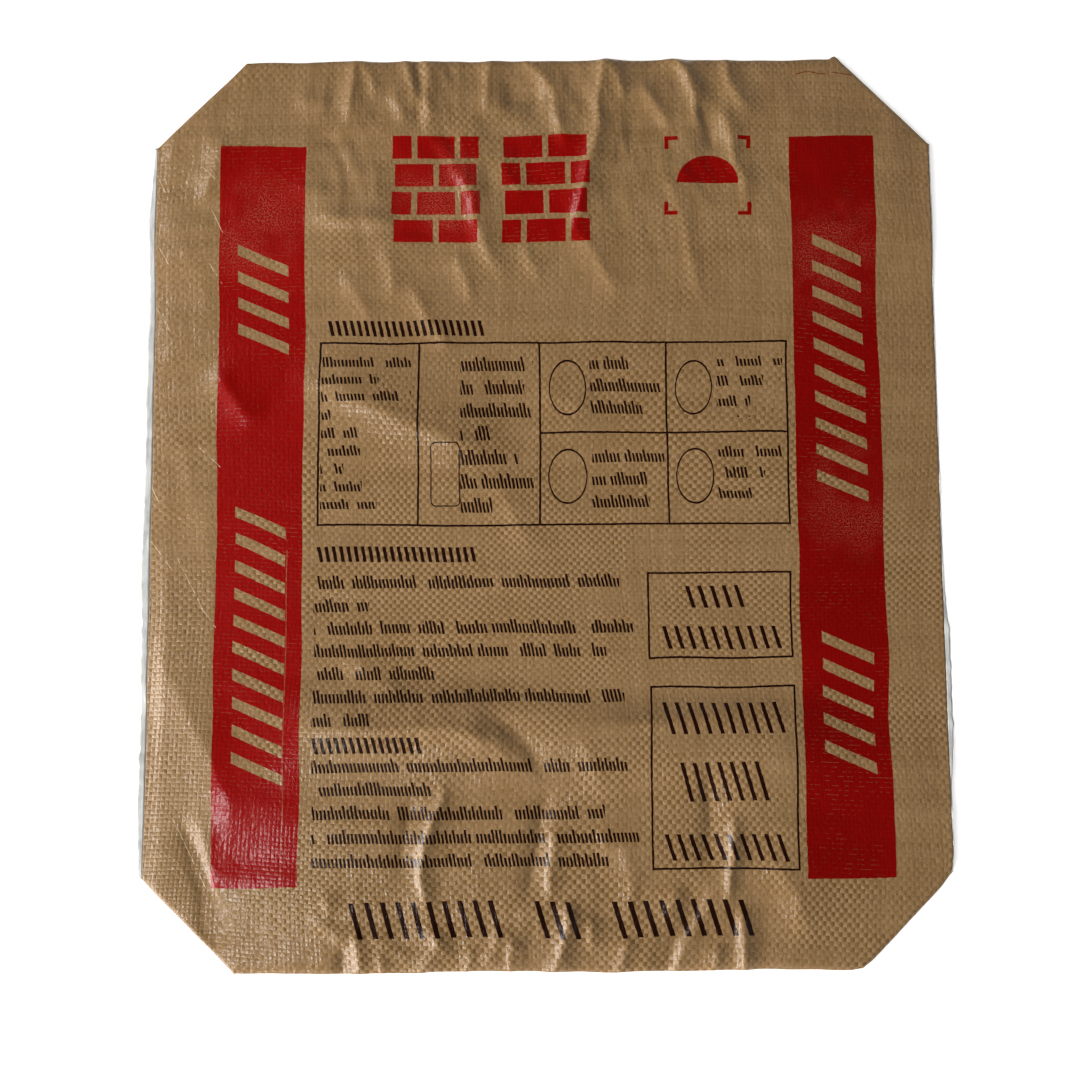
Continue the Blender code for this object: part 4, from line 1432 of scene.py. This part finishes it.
def add_floor(stage):
    """The floor, a little below the bag."""
    mesh = bmesh.new()
    bmesh.ops.create_grid(mesh, x_segments=1, y_segments=1, size=FLOOR_HALF)
    bmesh.ops.translate(mesh, vec=(0, 0, -FLOOR_DROP), verts=mesh.verts[:])
    data = bpy.data.meshes.new("floor")
    mesh.to_mesh(data)
    mesh.free()
    data.materials.append(make_floor_material(stage))
    floor = bpy.data.objects.new("floor", data)
    bpy.context.scene.collection.objects.link(floor)


def add_sky(stage):
    """Even light from all round, low down."""
    world = bpy.data.worlds.new("soft_sky")
    world.use_nodes = True
    sheet = NodeSheet(world.node_tree)
    direction = sheet.add("ShaderNodeSeparateXYZ")
    sheet.plug(direction, 0, sheet.add("ShaderNodeTexCoord").outputs["Generated"])
    glow = sheet.remap(direction.outputs["Z"], *SKY_BAND, stage.sky, 0.0, kind="SMOOTHSTEP")
    background = world.node_tree.nodes["Background"]
    background.inputs["Color"].default_value = WHITE
    sheet.plug(background, "Strength", glow)
    bpy.context.scene.world = world


def add_camera(stage):
    """The camera, straight above the bag."""
    lens = bpy.data.cameras.new("camera")
    lens.angle = stage.lens
    lens.clip_start = NEAREST_SEEN
    camera = bpy.data.objects.new("camera", lens)
    tilt_x, tilt_y, tilt_z = (math.radians(degrees) for degrees in CAMERA_TURN)
    turn = Euler((0, 0, tilt_z)).to_matrix() @ Euler((tilt_x, 0, 0)).to_matrix()
    turn = turn @ Euler((0, tilt_y, 0)).to_matrix()
    camera.matrix_world = turn.to_4x4()
    camera.location = CAMERA_PLACE
    bpy.context.scene.collection.objects.link(camera)
    bpy.context.scene.camera = camera


class CEMENTBAG_OT_stage(bpy.types.Operator):
    """Add the pale floor, the soft lights and the camera"""

    bl_idname = "cement_bag.stage"
    bl_label = "Stage"

    def execute(self, context):
        stage = context.scene.bag_stage
        add_floor(stage)
        add_sky(stage)
        add_area_light("window", WINDOW_PLACE, WINDOW_SIZE, stage.window)
        add_area_light("lamp", LAMP_PLACE, LAMP_SIZE, stage.lamp)
        add_area_light("top_lamp", TOP_LAMP_PLACE, TOP_LAMP_SIZE, stage.top_lamp)
        add_camera(stage)
        context.scene.view_settings.view_transform = "Standard"
        return {"FINISHED"}


class CEMENTBAG_OT_tube(bpy.types.Operator):
    """Fold the printed woven tube from its flat pattern"""

    bl_idname = "cement_bag.tube"
    bl_label = "Woven Tube"

    def execute(self, context):
        scene = context.scene
        cloth = make_cloth("printed_kraft_cloth", scene.bag_sizes, scene.bag_colours, printed=True)
        make_tube(scene.bag_sizes, scene.bag_creasing, cloth)
        return {"FINISHED"}


class CEMENTBAG_OT_patches(bpy.types.Operator):
    """Lay the two cover patches under the folded bottoms"""

    bl_idname = "cement_bag.patches"
    bl_label = "Cover Patches"

    def execute(self, context):
        scene = context.scene
        cloth = make_cloth("patch_cloth", scene.bag_sizes, scene.bag_colours, printed=False)
        for end in ("top", "bottom"):
            node = end + "_cover_patch"
            make_flat_sheet(
                end + "_patch_cloth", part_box(node), 0.0, scene.bag_sizes, cloth, node
            )
        return {"FINISHED"}


class CEMENTBAG_OT_valve(bpy.types.Operator):
    """Lay the valve sheet inside the corner of the filling end"""

    bl_idname = "cement_bag.valve"
    bl_label = "Valve Sheet"

    def execute(self, context):
        scene = context.scene
        cloth = make_cloth("valve_cloth", scene.bag_sizes, scene.bag_colours, printed=False)
        make_flat_sheet(
            "valve_cloth_sheet", VALVE_BOX, VALVE_BOX[0][2], scene.bag_sizes, cloth,
            "valve_sheet", point=VALVE_POINT,
        )
        return {"FINISHED"}


class CEMENTBAG_OT_fins(bpy.types.Operator):
    """Add the strips of coating film along the side folds"""

    bl_idname = "cement_bag.fins"
    bl_label = "Coating Fins"

    def execute(self, context):
        scene = context.scene
        film = make_film(scene.bag_colours)
        for side_name, sign in (("left", -1), ("right", 1)):
            make_fin(side_name, sign, scene.bag_sizes, scene.bag_creasing, film)
        return {"FINISHED"}


class CEMENTBAG_PT_panel(bpy.types.Panel):
    """Settings and build steps of the cement bag"""

    bl_idname = "CEMENTBAG_PT_panel"
    bl_label = "Cement Bag"
    bl_space_type = "VIEW_3D"
    bl_region_type = "UI"
    bl_category = "Cement Bag"

    def draw(self, context):
        layout = self.layout
        scene = context.scene
        for group in (scene.bag_sizes, scene.bag_creasing, scene.bag_colours, scene.bag_stage):
            box = layout.box()
            for name in group.__annotations__:
                box.prop(group, name)
        for operator in OPERATORS:
            layout.operator(operator.bl_idname)


OPERATORS = (
    CEMENTBAG_OT_stage,
    CEMENTBAG_OT_tube,
    CEMENTBAG_OT_patches,
    CEMENTBAG_OT_valve,
    CEMENTBAG_OT_fins,
)
GROUPS = {
    "bag_sizes": BagSizes,
    "bag_creasing": BagCreasing,
    "bag_colours": BagColours,
    "bag_stage": BagStage,
}


def register():
    """Adds the settings, the build steps and the panel."""
    for item in (*GROUPS.values(), *OPERATORS, CEMENTBAG_PT_panel):
        bpy.utils.register_class(item)
    for name, group in GROUPS.items():
        setattr(bpy.types.Scene, name, PointerProperty(type=group))


def unregister():
    """Takes them away again."""
    for name in GROUPS:
        delattr(bpy.types.Scene, name)
    for item in reversed((*GROUPS.values(), *OPERATORS, CEMENTBAG_PT_panel)):
        bpy.utils.unregister_class(item)


def main():
    """Builds the bag on its stage, the fins first."""
    register()
    bpy.ops.cement_bag.stage()
    bpy.ops.cement_bag.fins()
    bpy.ops.cement_bag.tube()
    bpy.ops.cement_bag.patches()
    bpy.ops.cement_bag.valve()


if __name__ == "__main__":
    main()
